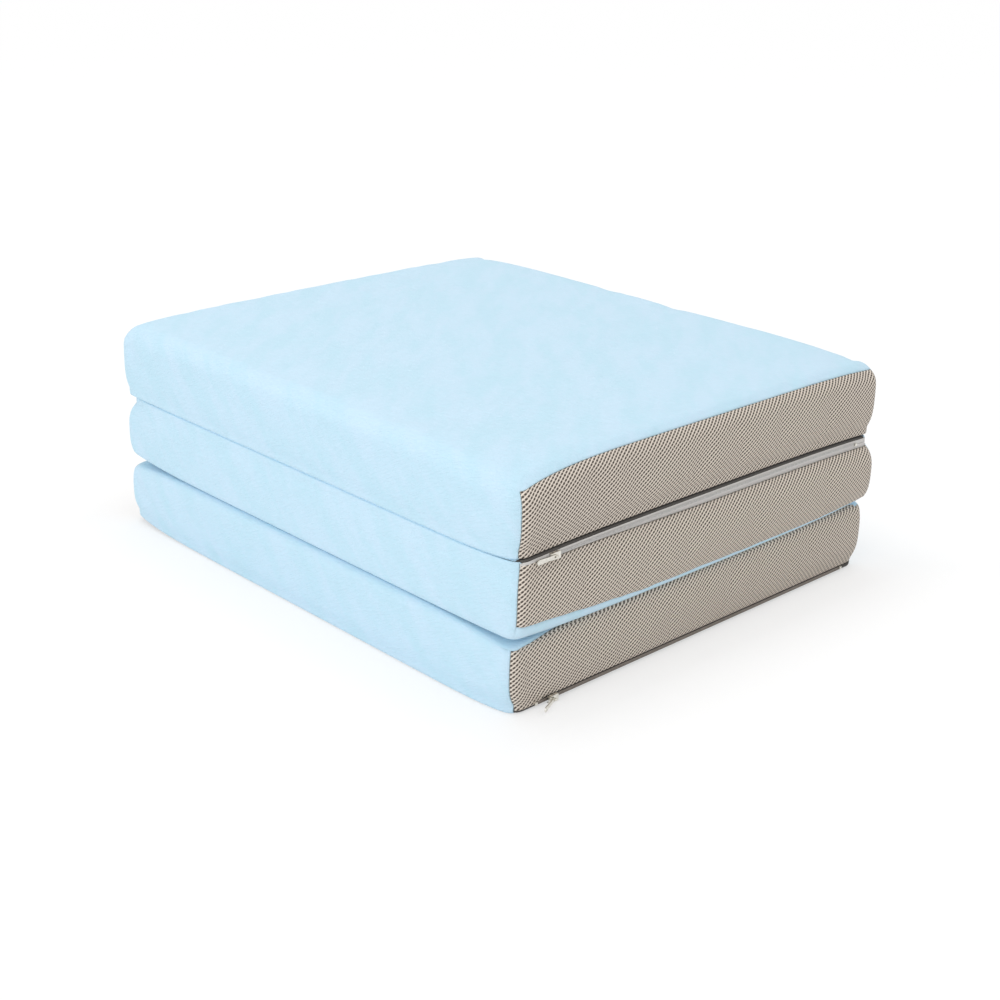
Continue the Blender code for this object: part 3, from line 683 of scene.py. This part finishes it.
settled = {panel: settle(form) for panel, form in FORMS.items()}
for panel, (points, owners, quads, moved) in settled.items():
    reach = np.linalg.norm(moved, axis=1)
    print(panel, "settles by up to", round(1000 * reach.max(), 1), "mm, middle value",
          round(1000 * float(np.median(reach)), 2))

# %% [markdown]
# What the simulation found belongs to places on the box, not to corners of the coarse mesh.
# Reading it between the coarse stations carries the same slow waves onto every fine piece,
# so neighbouring pieces still meet.

# %% Carry the settled shape to any point of the box
def settled_grids():
    """For each panel and side: the coarse stations and the capped moves on them."""
    rulers = coarse_stations()
    grids = {}
    for panel, (points, owners, quads, moved) in settled.items():
        reach = np.linalg.norm(moved, axis=1, keepdims=True)
        for side, (fixed, end, first, second, flip) in LAYOUT.items():
            cap = SETTLE_CAP[side]
            pressed = panel != "top" and side == "sleep"
            capped = moved * cap / (reach + cap) if cap and not pressed else moved * 0
            if second == 2:
                edge = 2 * points[:, 2] / THICKNESS - 1
                edge = np.minimum(edge, 0) if panel == "top" else edge
                capped = capped * (1 - edge ** 6)[:, None]
            on_side = abs(points[:, fixed] - rulers[fixed][end]) < 1e-7
            rows = np.searchsorted(rulers[first], points[on_side, first] - 1e-7)
            columns = np.searchsorted(rulers[second], points[on_side, second] - 1e-7)
            grid = np.zeros((len(rulers[first]), len(rulers[second]), 3))
            grid[rows, columns] = capped[on_side]
            grids[panel, side] = (first, second, rulers[first], rulers[second], grid)
    return grids


GRIDS = settled_grids()


def between(stations, places):
    """The station below each place, and how far on to the next one the place is."""
    below = np.clip(np.searchsorted(stations, places) - 1, 0, len(stations) - 2)
    step = stations[below + 1] - stations[below]
    return below, np.clip((places - stations[below]) / step, 0, 1)[:, None]


def settled_move(points, panel, side):
    first, second, rows, columns, grid = GRIDS[panel, side]
    row, across = between(rows, points[:, first])
    column, along = between(columns, points[:, second])
    return ((1 - across) * (1 - along) * grid[row, column]
            + across * (1 - along) * grid[row + 1, column]
            + (1 - across) * along * grid[row, column + 1]
            + across * along * grid[row + 1, column + 1])


print("sides with settled cloth", len(GRIDS))

# %% [markdown]
# ## From the box to the stack
#
# A seam isn't always where the box has its edge. On the middle panel the cap comes round the
# edge, and on the bottom one the mesh climbs over it. Such a seam slides while its patch is
# still flat; after that every point is softened, settled and put on its own panel.

# %% Slide the seams and lay points on a panel
SEAM_SHIFT_TOP = 0.034
TAPE_SHOWN = {"bottom": (0.0006, 0.0), "middle": (0.0015, 0.0044), "top": (0.0060, 0.0)}
TAPE_WIDENS_FROM, TAPE_WIDENS_OVER = 0.04, 0.50
CAP_BAND, MESH_BAND, BAND_REACH = 0.0160, 0.0120, 0.040
CAP_BAND_SEEN = ([0.0, 0.20, 0.65], [0.0185, 0.0060, 0.0018])
MESH_BAND_START = 0.012
MESH_BAND_SEEN = ([0.0, 0.03, 0.12, 0.622, 0.641], [0.0003, 0.0010, 0.0130, 0.0130, 0.0005])
ZIP_END_START, ZIP_END_DONE, ZIP_END_HEIGHT = 0.043, 0.034, 0.0012
SIDE_SHIFT = {"bottom": 0.0020, "middle": -0.0015, "top": 0.0030}
PLACES = {
    "bottom": Matrix.Identity(4),
    "middle": Matrix.Translation((0, 0, 2 * PITCH - STACK_GAP)) @ Matrix.Rotation(math.pi, 4, "Y"),
    "top": Matrix.Translation((0, 0, 2 * PITCH)) @ Matrix.Rotation(math.pi, 4, "Z"),
}
for panel, shift in SIDE_SHIFT.items():
    PLACES[panel] = Matrix.Translation((0, shift, 0)) @ PLACES[panel]


def ease(share):
    """A slow start and a slow end for a share that runs from 0 to 1."""
    share = np.clip(share, 0, 1)
    return share * share * (3 - 2 * share)


def from_front(points, panel):
    return HALF_LENGTH - points[:, 0] * FORMS[panel].front[0]


def at_height(points, height):
    return np.column_stack([points[:, :2], height])


def zip_seam(points, panel):
    """The height where the mesh starts over the teeth. On the middle panel the tape rolls
    out of sight towards the corner where the slider is parked."""
    base, wider = TAPE_SHOWN[panel]
    along = (HALF_LENGTH - points[:, 0]) / PANEL_LENGTH
    return ZIP_HEIGHT + base + wider * ease((along - TAPE_WIDENS_FROM) / TAPE_WIDENS_OVER)


def shift_zip_seam(points, panel):
    """Slides the heights near the zip, so that the mesh starts where its seam should be."""
    height, seam = points[:, 2], zip_seam(points, panel)
    below = ZIP_HEIGHT + (height - ZIP_HEIGHT) / ZIP_TAPE_REACH * (seam - ZIP_HEIGHT)
    share = (height - ZIP_SEAM_HEIGHT) / (SEAM_SHIFT_TOP - ZIP_SEAM_HEIGHT)
    shifted = np.where(height < ZIP_SEAM_HEIGHT, below, seam + share * (SEAM_SHIFT_TOP - seam))
    moves = (height > ZIP_HEIGHT) & (height < SEAM_SHIFT_TOP)
    return at_height(points, np.where(moves, shifted, height))


def cover_zip_end(points, panel):
    """Brings the mesh down over the sewn-in end of the tapes, at the front corner."""
    near = ease((ZIP_END_START - from_front(points, panel)) / (ZIP_END_START - ZIP_END_DONE))
    seam = zip_seam(points, panel)
    fade = np.clip((SEAM_SHIFT_TOP - points[:, 2]) / (SEAM_SHIFT_TOP - seam), 0, 1)
    return at_height(points, points[:, 2] - near * fade * (seam - ZIP_END_HEIGHT))


def shift_sleep_seam(points, sides, panel):
    """Slides the seam between cap and mesh: down the middle panel's wall, most at the
    front corner, and onto the bottom panel's sleeping side."""
    if panel == "top":
        return points
    if panel == "middle":
        mine, band, seen = sides == "-y", CAP_BAND, CAP_BAND_SEEN
        inside = THICKNESS - points[:, 2]
    else:
        mine, band, seen = (sides == "sleep") & (points[:, 1] < 0), MESH_BAND, MESH_BAND_SEEN
        inside = HALF_WIDTH + points[:, 1]
    seen = np.interp(from_front(points, panel), *seen)
    far = seen + (inside - band) / (BAND_REACH - band) * (BAND_REACH - seen)
    moved = np.where(inside < band, inside / band * seen, far)
    moved = np.where(mine & (inside < BAND_REACH), moved, inside)
    points = points.copy()
    if panel == "middle":
        points[:, 2] = THICKNESS - moved
    else:
        points[:, 1] = moved - HALF_WIDTH
    return points


def keep_behind_fold(x):
    """Flattens the hinge walls' swell, so that two panels laid end to end never touch."""
    knee = HALF_LENGTH + HINGE_WALL_KNEE
    over = np.maximum(abs(x) - knee, 0)
    flattened = knee + HINGE_WALL_ROOM * (1 - np.exp(-over / HINGE_WALL_ROOM))
    return np.where(over > 0, np.sign(x) * flattened, x)


def to_stack(points, panel):
    """From the panel's own frame to the shared one."""
    place = np.array(PLACES[panel])
    return points @ place[:3, :3].T + place[:3, 3]


def lay(points, sides, panel, depths):
    """Points of the sharp box at these depths, softened and settled, in the shared frame."""
    soft = soften(inset_points(points, depths), FORMS[panel])
    for side in SIDES:
        mine = sides == side
        if mine.any():
            soft[mine] += settled_move(points[mine], panel, side)
    soft[:, 0] = keep_behind_fold(soft[:, 0])
    return to_stack(soft, panel)


def place_on_panel(points, sides, panel, depths, covers_zip_end=False):
    """The same, after the seams have slid to where they show."""
    zipped = (sides == "-y")[:, None]
    points = np.where(zipped, shift_zip_seam(points, panel), points)
    if covers_zip_end:
        points = np.where(zipped, cover_zip_end(points, panel), points)
    return lay(shift_sleep_seam(points, sides, panel), sides, panel, depths)


print("panels are placed at mm", {panel: [round(1000 * v, 1) for v in place.translation]
                                  for panel, place in PLACES.items()})

# %% [markdown]
# ## Thin pieces of cloth
#
# A single sheet of faces has no edge to see where two pieces meet. Each piece is therefore
# a closed skin two millimetres thick, made by laying the same patch a second time deeper in
# the box. Along its borders the cloth dips in a little, as it does beside a line of
# stitches, and that dip draws the seam. The weave follows the lengths over the soft cloth.

# %% Flat places on the cloth, and pieces that stand in for nodes
SEAM_DIP, SEAM_DIP_REACH = 0.0015, 0.0026
INNER_DIP_SHARE = 0.2
BORDER_REACH, BORDER_STEPS = 0.02, 8


def side_of(points, owners, quads):
    """For each corner, the side that owns it; the first one on an edge."""
    sides = [None] * len(points)
    for ring, owner in zip(quads, owners):
        for corner in ring:
            sides[corner] = sides[corner] or owner
    return np.array(sides)


def run_lengths(lattice, axis, start):
    """Lengths over the cloth along one direction of a lattice, zero at the start."""
    steps = np.linalg.norm(np.diff(lattice, axis=axis), axis=2)
    total = np.cumsum(steps, axis=axis)
    total = np.concatenate([np.zeros_like(np.take(total, [0], axis)), total], axis=axis)
    return total - np.take(total, [start], axis)


def cloth_places(placed, keys, stations, side):
    """Where each corner of a side is on the flat cloth, u to the right as seen. The knit
    cap is one strip: up one hinge wall, over the sleeping side and down the other."""
    fixed, end, first, second, flip = LAYOUT[side]
    mine = keys[:, fixed] == (len(stations[fixed]) - 1 if end else 0)
    rows, columns = keys[mine, first], keys[mine, second]
    lattice = np.full((len(stations[first]), len(stations[second]), 3), np.nan)
    lattice[rows, columns] = placed[mine]
    flat = np.zeros((len(keys), 2))
    if np.isnan(lattice).any():
        flat[mine] = placed[mine, :2]
        return flat
    along = run_lengths(lattice, 0, len(stations[first]) // 2)
    over = run_lengths(lattice, 1, 0 if second == 2 else len(stations[second]) // 2)
    middle = over.shape[1] // 2
    if side in ("-x", "+x"):
        down = HALF_LENGTH + over.max(axis=1, keepdims=True) - over
        u, v = along, down if side == "+x" else -down
    elif side in ("-y", "+y"):
        u = np.repeat(along[:, [middle]], over.shape[1], axis=1)
        u, v = u if side == "-y" else -u, over - over[:, [middle]]
    else:
        u, v = over, along
    flat[mine] = np.stack([u[rows, columns], v[rows, columns]], axis=1)
    return flat


def add_piece(name, node, body, points, faces, uvs, finish_name, slot=None, fill=None,
              smooth=True):
    """A dressed piece that stands in for a node of the measured frame. It rides on a body.
    fill is not used."""
    mesh = bpy.data.meshes.new(name)
    mesh.from_pydata([tuple(p) for p in points], [], [tuple(face) for face in faces])
    layer = mesh.uv_layers.new(name=CLOTH_MAP)
    layer.data.foreach_set("uv", np.array(uvs, dtype=np.float32).ravel())
    mesh.polygons.foreach_set("use_smooth", [smooth] * len(mesh.polygons))
    mesh.materials.append(FINISHES[finish_name])
    mesh.update()
    piece = bpy.data.objects.new(name, mesh)
    bpy.context.scene.collection.objects.link(piece)
    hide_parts(*([node] if isinstance(node, str) else node))
    if body:
        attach(piece, body)
    print(name, len(faces), "faces")
    return piece


# %% [markdown]
# A patch has a border, and the border closes the skin: its faces join the outer copy to the
# inner one. How far a corner is from the border says how deep it lies in the seam's dip.

# %% Close a patch into a thin piece
def around(ring):
    """The edges of a ring of corners, in its own direction."""
    return list(zip(ring, ring[1:] + ring[:1]))


def distance_to_border(points, rim, quads):
    """How far each corner is from the piece's border, over the cloth, up to a reach."""
    far = np.full(len(points), BORDER_REACH)
    far[np.array(rim).ravel()] = 0
    ends = np.array([edge for ring in quads for edge in around(ring)])
    ends = np.unique(np.sort(ends, axis=1), axis=0)
    lengths = np.linalg.norm(points[ends[:, 0]] - points[ends[:, 1]], axis=1)
    for step in range(BORDER_STEPS):
        np.minimum.at(far, ends[:, 0], far[ends[:, 1]] + lengths)
        np.minimum.at(far, ends[:, 1], far[ends[:, 0]] + lengths)
    return far


def thin_piece(name, node, panel, stations, sides_used, finish_name, outer=0.0, keep=None,
               thickness=COVER_THICKNESS, seam_dip=SEAM_DIP, ridge=None,
               covers_zip_end=False, **more):
    """A closed skin over these sides of a panel, its outer face this deep in the box."""
    points, quads, owners, keys = patch(stations, sides_used, keep)
    sides = side_of(points, owners, quads)
    edge_side = {edge: side for ring, side in zip(quads, owners) for edge in around(ring)}
    rim = [edge for edge in edge_side if edge[::-1] not in edge_side]
    from_border = distance_to_border(points, rim, quads)
    dip = seam_dip * np.maximum(1 - from_border / SEAM_DIP_REACH, 0) ** 2
    if ridge:
        dip = dip + ridge(points, panel)
    inner_dip = np.maximum(dip, 0) * INNER_DIP_SHARE
    outside, inside = [place_on_panel(points, sides, panel, depths, covers_zip_end)
                       for depths in (outer + dip, outer + thickness + inner_dip)]
    flat = {side: cloth_places(outside, keys, stations, side) for side in set(owners)}
    count = len(points)
    skin = list(zip(quads, owners))
    skin += [([count + c for c in ring[::-1]], side) for ring, side in zip(quads, owners)]
    skin += [([b, a, count + a, count + b], edge_side[a, b]) for a, b in rim]
    uvs = [flat[side][c % count] for ring, side in skin for c in ring]
    return add_piece(name, node, panel + "_panel", np.concatenate([outside, inside]),
                     [ring for ring, side in skin], uvs, finish_name, **more)


# %% [markdown]
# The knit cap is the first piece made this way. It covers both hinge walls and the sleeping
# side, and turns a few millimetres under the base.

# %% Knit caps
def with_break(places, value):
    return np.array(sorted({*places.tolist(), value}))


def in_mesh_band(middle):
    return middle[1] < MESH_BAND - HALF_WIDTH and abs(middle[0]) < HALF_LENGTH - MESH_BAND_START


def cap_stations(panel):
    across = across_stations(HALF_WIDTH, SEAM_GAP)
    if panel == "bottom":
        across = with_break(across, MESH_BAND - HALF_WIDTH)
    up = wall_stations(0.0, THICKNESS, [THICKNESS - CAP_BAND] if panel == "middle" else [])
    return across_stations(HALF_LENGTH), across, up


def cap_keeps(panel):
    def keep(side, middle):
        if side == "base":
            return abs(middle[0]) > HALF_LENGTH - TURN_UNDER[HALF_LENGTH]
        if side == "-y":
            return panel == "middle" and middle[2] > THICKNESS - CAP_BAND
        return not (side == "sleep" and panel == "bottom" and in_mesh_band(middle))
    return keep


for panel in FORMS:
    thin_piece(panel + "_knit_cap", panel + "_sleeping_cover", panel, cap_stations(panel),
               ("-y", "-x", "+x", "sleep", "base"), "blue_knit", keep=cap_keeps(panel), fill=0.9)

# %% [markdown]
# ## Mesh walls and the underside
#
# The long walls are air mesh, which lets the foam breathe. The wall with the zip stops above
# the tape; the other one runs down to the underside. Both start where the cap ends.

# %% Mesh walls and base sheets
def wall_patch_stations(low, high=THICKNESS):
    across = with_break(across_stations(HALF_WIDTH), MESH_BAND - HALF_WIDTH)
    return across_stations(HALF_LENGTH), across, wall_stations(low, high)


def turns_under(way):
    """Keeps a wall and the narrow edge of the base under it, on the +y or -y side."""
    def keep(side, middle):
        inside = abs(middle[0]) < HALF_LENGTH - TURN_UNDER[HALF_LENGTH] - SEAM_GAP
        return side != "base" or (inside
                                  and way * middle[1] > HALF_WIDTH - TURN_UNDER[HALF_WIDTH])
    return keep


def climbs_over(side, middle):
    return side == "-y" or in_mesh_band(middle)


def underside_stations():
    places = []
    for half in (HALF_LENGTH, HALF_WIDTH):
        across = across_stations(half)
        places.append(across[abs(across) < half - TURN_UNDER[half] - SEAM_GAP + 1e-6])
    return *places, np.array([0.0, THICKNESS])


for panel in FORMS:
    top = THICKNESS - CAP_BAND - SEAM_GAP if panel == "middle" else THICKNESS
    thin_piece(panel + "_air_mesh_wall", panel + "_mesh_wall", panel, wall_patch_stations(0.0),
               ("+y", "base"), "air_mesh", keep=turns_under(1), fill=0.9)
    thin_piece(panel + "_air_mesh_wall_over_zip", panel + "_zipped_mesh_wall", panel,
               wall_patch_stations(ZIP_SEAM_HEIGHT + SEAM_GAP / 2, top),
               ("-y", "sleep") if panel == "bottom" else ("-y",), "air_mesh",
               keep=climbs_over, covers_zip_end=True, fill=0.9)
    thin_piece(panel + "_underside", panel + "_base_sheet", panel, underside_stations(),
               ("base",), "base_fabric", fill=0.9)

# %% [markdown]
# ## The zip's tapes
#
# A zip is two woven tapes, each with teeth along one edge. Here the tapes are two narrow
# patches of the same wall, one above the teeth and one below.

# %% Zip tapes
TAPE_DEPTH, TAPE_THICKNESS = 0.0004, 0.0012
CHAIN_GAP = 0.0002
TAPE_CLOSE_ROWS, TAPE_STEPS = 0.0015, [0.0011, 0.0004]
RIDGE_HEIGHT, RIDGE_WIDTH = 0.0016, 0.0009


def tape_stations(low, high):
    return (across_stations(HALF_LENGTH), across_stations(HALF_WIDTH),
            fill([low, max(low, high - TAPE_CLOSE_ROWS), high], TAPE_STEPS))


def tape_ridge(points, panel):
    """A rolled edge where the tape meets the mesh, negative because it stands out."""
    width = zip_seam(points, panel) - ZIP_HEIGHT
    from_seam = (ZIP_SEAM_HEIGHT - points[:, 2]) / ZIP_TAPE_REACH * width
    share = np.minimum(width / ZIP_TAPE_REACH, 1)
    return -RIDGE_HEIGHT * share * np.exp(-(from_seam / RIDGE_WIDTH) ** 2)


# The bottom panel's zip gets the finishes with painted shade, for the shade by the floor.
def zip_finish(panel, slot):
    return slot + "_dark" if panel == "bottom" else slot


TAPES = {"wall_side": (ZIP_HEIGHT + CHAIN_GAP, ZIP_SEAM_HEIGHT - SEAM_GAP / 2, ("-y",),
                       tape_ridge),
         "base_side": (0.0, ZIP_HEIGHT - CHAIN_GAP, ("-y", "base"), None)}
for panel in FORMS:
    for half, (low, high, sides_used, ridge) in TAPES.items():
        thin_piece(panel + "_tape_" + half, panel + "_zip_tape_" + half, panel,
                   tape_stations(low, high), sides_used, zip_finish(panel, "zip_tape"),
                   slot="zip_tape", outer=TAPE_DEPTH, thickness=TAPE_THICKNESS, seam_dip=0.0,
                   keep=turns_under(-1), ridge=ridge, fill=1.0)

# %% [markdown]
# The teeth are a fine comb: a narrow spine sewn to each tape, and small teeth that reach
# from it between those of the other row. They follow the soft wall, so they are laid on it
# tooth by tooth rather than cut from a straight bar.

# %% Zip teeth
TEETH_HALF_LENGTH = 0.2798
TOOTH_PITCH, TOOTH_WIDTH = 0.0032, 0.0012
SPINE_NEAR, SPINE_FAR, SPINE_STEP = 0.0004, 0.0012, 0.012
TOOTH_ROOT, TOOTH_REACH = SPINE_NEAR + 0.0001, 0.0003
TEETH_OUT, TEETH_IN = -0.0010, 0.0002


def sharp_along(x, panel):
    """The place on the sharp box that softening draws in to x, along the zip."""
    return x / (1 - FORMS[panel].base_tuck / HALF_LENGTH)


def tube(start, rings, count):
    """Faces of a closed tube: rings of count corners, numbered from start on, with a row
    of quads over each end. The ends' faces come last."""
    faces = []
    for row in range(rings - 1):
        a, b = start + row * count, start + (row + 1) * count
        for k in range(count):
            after = (k + 1) % count
            faces.append((a + k, b + k, b + after, a + after))
    for first, turn in ((start, 1), (start + (rings - 1) * count, -1)):
        faces += [tuple(first + c for c in (k, k + 1, count - 2 - k, count - 1 - k)[::turn])
                  for k in range(count // 2 - 1)]
    return faces


def tooth_row(panel, half, way):
    """One row of teeth; way is 1 above the zip's middle line and -1 below it."""
    bars = [[(x, SPINE_NEAR, SPINE_FAR)
             for x in fill([-TEETH_HALF_LENGTH, TEETH_HALF_LENGTH], [SPINE_STEP])]]
    start = -TEETH_HALF_LENGTH + TOOTH_PITCH * (1.0 if way > 0 else 1.5)
    for x in np.arange(start, TEETH_HALF_LENGTH - TOOTH_PITCH, TOOTH_PITCH):
        bars.append([(x + turn * TOOTH_WIDTH / 2, TOOTH_ROOT, -TOOTH_REACH) for turn in (-1, 1)])
    corners, faces = [], []
    for bar in bars:
        faces += tube(len(corners), len(bar), 4)
        for x, near, far in bar:
            low, high = sorted((ZIP_HEIGHT + way * near, ZIP_HEIGHT + way * far))
            corners += [(x, low, TEETH_OUT), (x, high, TEETH_OUT), (x, high, TEETH_IN),
                        (x, low, TEETH_IN)]
    x, height, depths = np.array(corners).T
    points = np.stack([sharp_along(x, panel), np.full(len(x), -HALF_WIDTH), height], axis=1)
    placed = lay(points, np.full(len(x), "-y"), panel, depths)
    add_piece(panel + "_teeth_" + half, panel + "_zip_teeth_" + half, panel + "_panel", placed,
              faces, [corners[c][:2] for face in faces for c in face],
              zip_finish(panel, "zip_teeth"), slot="zip_teeth", smooth=False)


for panel in FORMS:
    tooth_row(panel, "wall_side", 1)
    tooth_row(panel, "base_side", -1)

# %% [markdown]
# ## The foam
#
# Nobody sees the foam in the closed cover, but it is what carries the sleeper: a firm core
# with a slow, soft layer over it. Both are blocks of the same box, a little inside the cover.

# %% Foam layers
FOAM_DEPTH = COVER_THICKNESS + 0.0008
FOAM_EDGE, FOAM_FINE_STEP, FOAM_WIDE_STEP = 0.03, 0.0075, 0.02
FOAM_LAYER_GAP = 0.0008
FOAM_FINISHES = {"firm_core": "support_foam", "slow_layer": "comfort_foam"}


def foam_stations(half):
    return fill([-half, -half + FOAM_EDGE, half - FOAM_EDGE, half],
                [FOAM_FINE_STEP, FOAM_WIDE_STEP, FOAM_FINE_STEP])


def foam_block(panel, layer_name, low, high):
    stations = (foam_stations(HALF_LENGTH), foam_stations(HALF_WIDTH),
                fill([low, high], [FOAM_FINE_STEP]))
    points, quads, owners, keys = patch(stations, SIDES)
    x, y, height = points.T
    on_skin = (HALF_LENGTH - abs(x) < TINY) | (HALF_WIDTH - abs(y) < TINY) | (height < TINY) \
        | (height > THICKNESS - TINY)
    sides = np.where(on_skin, side_of(points, owners, quads), "inner")
    placed = place_on_panel(points, sides, panel, np.full(len(points), FOAM_DEPTH))
    flat = {side: cloth_places(placed, keys, stations, side) for side in SIDES}
    uvs = [flat[side][c] for ring, side in zip(quads, owners) for c in ring]
    finish_name = FOAM_FINISHES[layer_name]
    add_piece(panel + "_" + layer_name, panel + "_" + finish_name, panel + "_panel", placed,
              quads, uvs, finish_name, fill=1.0)


for panel in FORMS:
    layer = THICKNESS - COMFORT_THICKNESS
    foam_block(panel, "firm_core", 0.0, layer - FOAM_LAYER_GAP / 2)
    foam_block(panel, "slow_layer", layer + FOAM_LAYER_GAP / 2, THICKNESS)

# %% [markdown]
# ## The folds
#
# Where two panels fold, a doubled strip of the knit joins their edges. It could be a hinge
# pin in a drawing, but on the mattress it is only cloth: one strip, bent into a narrow U,
# that unrolls as the panels open. Here it is one fixed piece, made for the folded stack.

# %% Fold strips
FOLD_REACH = HALF_LENGTH + HINGE_WALL_BULGE + 0.0005
FOLD_STRIP_THICKNESS = 0.0006
FOLD_ARM, FOLD_ARM_ROWS, FOLD_BEND_ROWS = 0.0004, 5, 8
FOLD_SEWN_IN, FOLD_BEHIND_EDGE = 0.0045, 0.0022
FOLD_STEP, FOLD_FLAT_TURN = 0.010, 0.00004
FOLD_TAPER_LENGTH, FOLD_TAPER = 0.060, 0.0060


def sewn_places(panel, side, ys, sleeping, inset):
    """Points of a panel's face in the shared frame, this far inside its hinge edge."""
    place = np.array(PLACES[panel])
    sharp = np.array([(side * place[0, 0] * (HALF_LENGTH - inset),
                       (y - place[1, 3]) * place[1, 1], THICKNESS * sleeping) for y in ys])
    return to_stack(soften(sharp, FORMS[panel]), panel)


def fold_rings(height, low, high, bends):
    """For each place along the fold, a thin U from one sewn line round its bend to the
    other, as a ring of corners. Returns the rings and the last U's middle line."""
    turns = np.linspace(-math.pi / 2, math.pi / 2, FOLD_BEND_ROWS)[1:-1]
    ways = np.linspace(0, 1, FOLD_ARM_ROWS)[:, None]
    half = FOLD_STRIP_THICKNESS / 2
    rings = []
    for below, above, bend in zip(low, high, bends):
        start, end = [np.array([abs(x), z - height]) for x, y, z in (below, above)]
        foot, head = np.array([bend, -FOLD_ARM]), np.array([bend, FOLD_ARM])
        round_bend = np.stack([bend + FOLD_ARM * np.cos(turns), FOLD_ARM * np.sin(turns)], axis=1)
        profile = np.concatenate([start + (foot - start) * ways, round_bend,
                                  head + (end - head) * ways])
        along = np.gradient(profile, axis=0)
        along /= np.linalg.norm(along, axis=1, keepdims=True)
        normal = np.stack([along[:, 1], -along[:, 0]], axis=1)
        rings.append(np.concatenate([profile + normal * half, (profile - normal * half)[::-1]]))
    return rings, profile


def fold_strip(name, nodes, panels, side, height, sleeping, short, to_fold_line):
    """A U of cloth in the groove between two panels' edges, open towards the stack. It
    ends this short of the corners, and reaches to the fold line or stays behind the edges."""
    reach = HALF_WIDTH - short
    ys = fill([-reach, reach], [FOLD_STEP])
    low, high = [sewn_places(panel, side, ys, sleeping, FOLD_SEWN_IN) for panel in panels]
    edges = np.minimum(*[abs(sewn_places(panel, side, ys, sleeping, 0.0)[:, 0])
                         for panel in panels])
    near_end = np.clip((abs(ys) - reach + FOLD_TAPER_LENGTH) / FOLD_TAPER_LENGTH, 0, 1)
    line = FOLD_REACH - FOLD_ARM - FOLD_TAPER * near_end ** 2
    rings, profile = fold_rings(height, low, high,
                                line if to_fold_line else edges - FOLD_BEHIND_EDGE)
    points = [(side * x, y, height + z) for y, ring in zip(ys, rings) for x, z in ring]
    run = np.concatenate([[0], np.cumsum(np.linalg.norm(np.diff(profile, axis=0), axis=1))])
    run = np.concatenate([run, run[::-1]])
    count = len(run)
    faces = [face[::-1] if side > 0 else face for face in tube(0, len(ys), count)]
    caps = 2 * (count // 2 - 1)
    uvs = [(ys[c // count], run[c % count]) for face in faces[:-caps] for c in face]
    ring = rings[len(rings) // 2]
    uvs += [tuple(0.001 * ring[c % count]) for face in faces[-caps:] for c in face]
    strip = add_piece(name, nodes, None, points, faces, uvs, "blue_knit", fill=1.0)
    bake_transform(strip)


fold_strip("fold_under_middle", ("bottom_fold_leaf", "middle_lower_fold_leaf"),
           ("bottom", "middle"), 1, PITCH - STACK_GAP / 2, True, 0.040, True)
fold_strip("fold_under_top", ("middle_upper_fold_leaf", "top_fold_leaf"),
           ("middle", "top"), -1, 2 * PITCH - STACK_GAP / 2, False, 0.010, False)

# %% [markdown]
# ## Stops, slider and pull
#
# These small hard parts have their true shape in the measured frame. The dressed chain bows
# with its wall by a millimetre or two, so a copy of each part is seated on it. A slider and
# its pull only move up or down, which keeps the pull on its upright hinge line. The stops
# are drawn in to the width of the finer chain.

# %% Seat the hard parts on the chain
STOP_WIDTH_SHARE = 0.62
PARKED_X = 0.264


def chain_shift(panel, x):
    """How far the dressed chain lies from the measured one, at this place along it."""
    sharp = np.array([[sharp_along(x, panel), -HALF_WIDTH, ZIP_HEIGHT]])
    laid = lay(sharp, np.array(["-y"]), panel, np.zeros(1))[0]
    straight = PLACES[panel] @ Vector((x, -HALF_WIDTH, ZIP_HEIGHT))
    return laid - np.array(straight) + np.array([0, SIDE_SHIFT[panel], 0])


def seat(node, panel, body, place_from, ways, width_share=1.0):
    """A copy of one of the zip's hard parts, moved with the chain beside place_from, in
    the ways that are 1."""
    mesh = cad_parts[node].data.copy()
    points = np.empty(len(mesh.vertices) * 3)
    mesh.vertices.foreach_get("co", points)
    points = points.reshape(-1, 3)
    low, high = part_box(place_from)
    middle = PLACES[panel].inverted() @ ((Vector(low) + Vector(high)) / 2)
    centre = points[:, 2].mean()
    points[:, 2] = centre + (points[:, 2] - centre) * width_share
    points += chain_shift(panel, middle.x) * ways
    mesh.vertices.foreach_set("co", points.ravel())
    mesh.materials.clear()
    mesh.materials.append(FINISHES["zip_metal"])
    mesh.update()
    piece = bpy.data.objects.new(node.replace("_zip_", "_"), mesh)
    bpy.context.scene.collection.objects.link(piece)
    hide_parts(node)
    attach(piece, body)
    return piece


for panel in FORMS:
    slider, pull = panel + "_zip_slider", panel + "_zip_pull"
    made = [seat(node, panel, node, slider, (0, 0, 1)) for node in (slider, pull)]
    made += [seat(node, panel, panel + "_panel", node, (0, 1, 1), STOP_WIDTH_SHARE)
             for node in (panel + "_zip_stop_closed", panel + "_zip_stop_open")]
    print([piece.name for piece in made], "moved by mm",
          (1000 * chain_shift(panel, PARKED_X)).round(1))
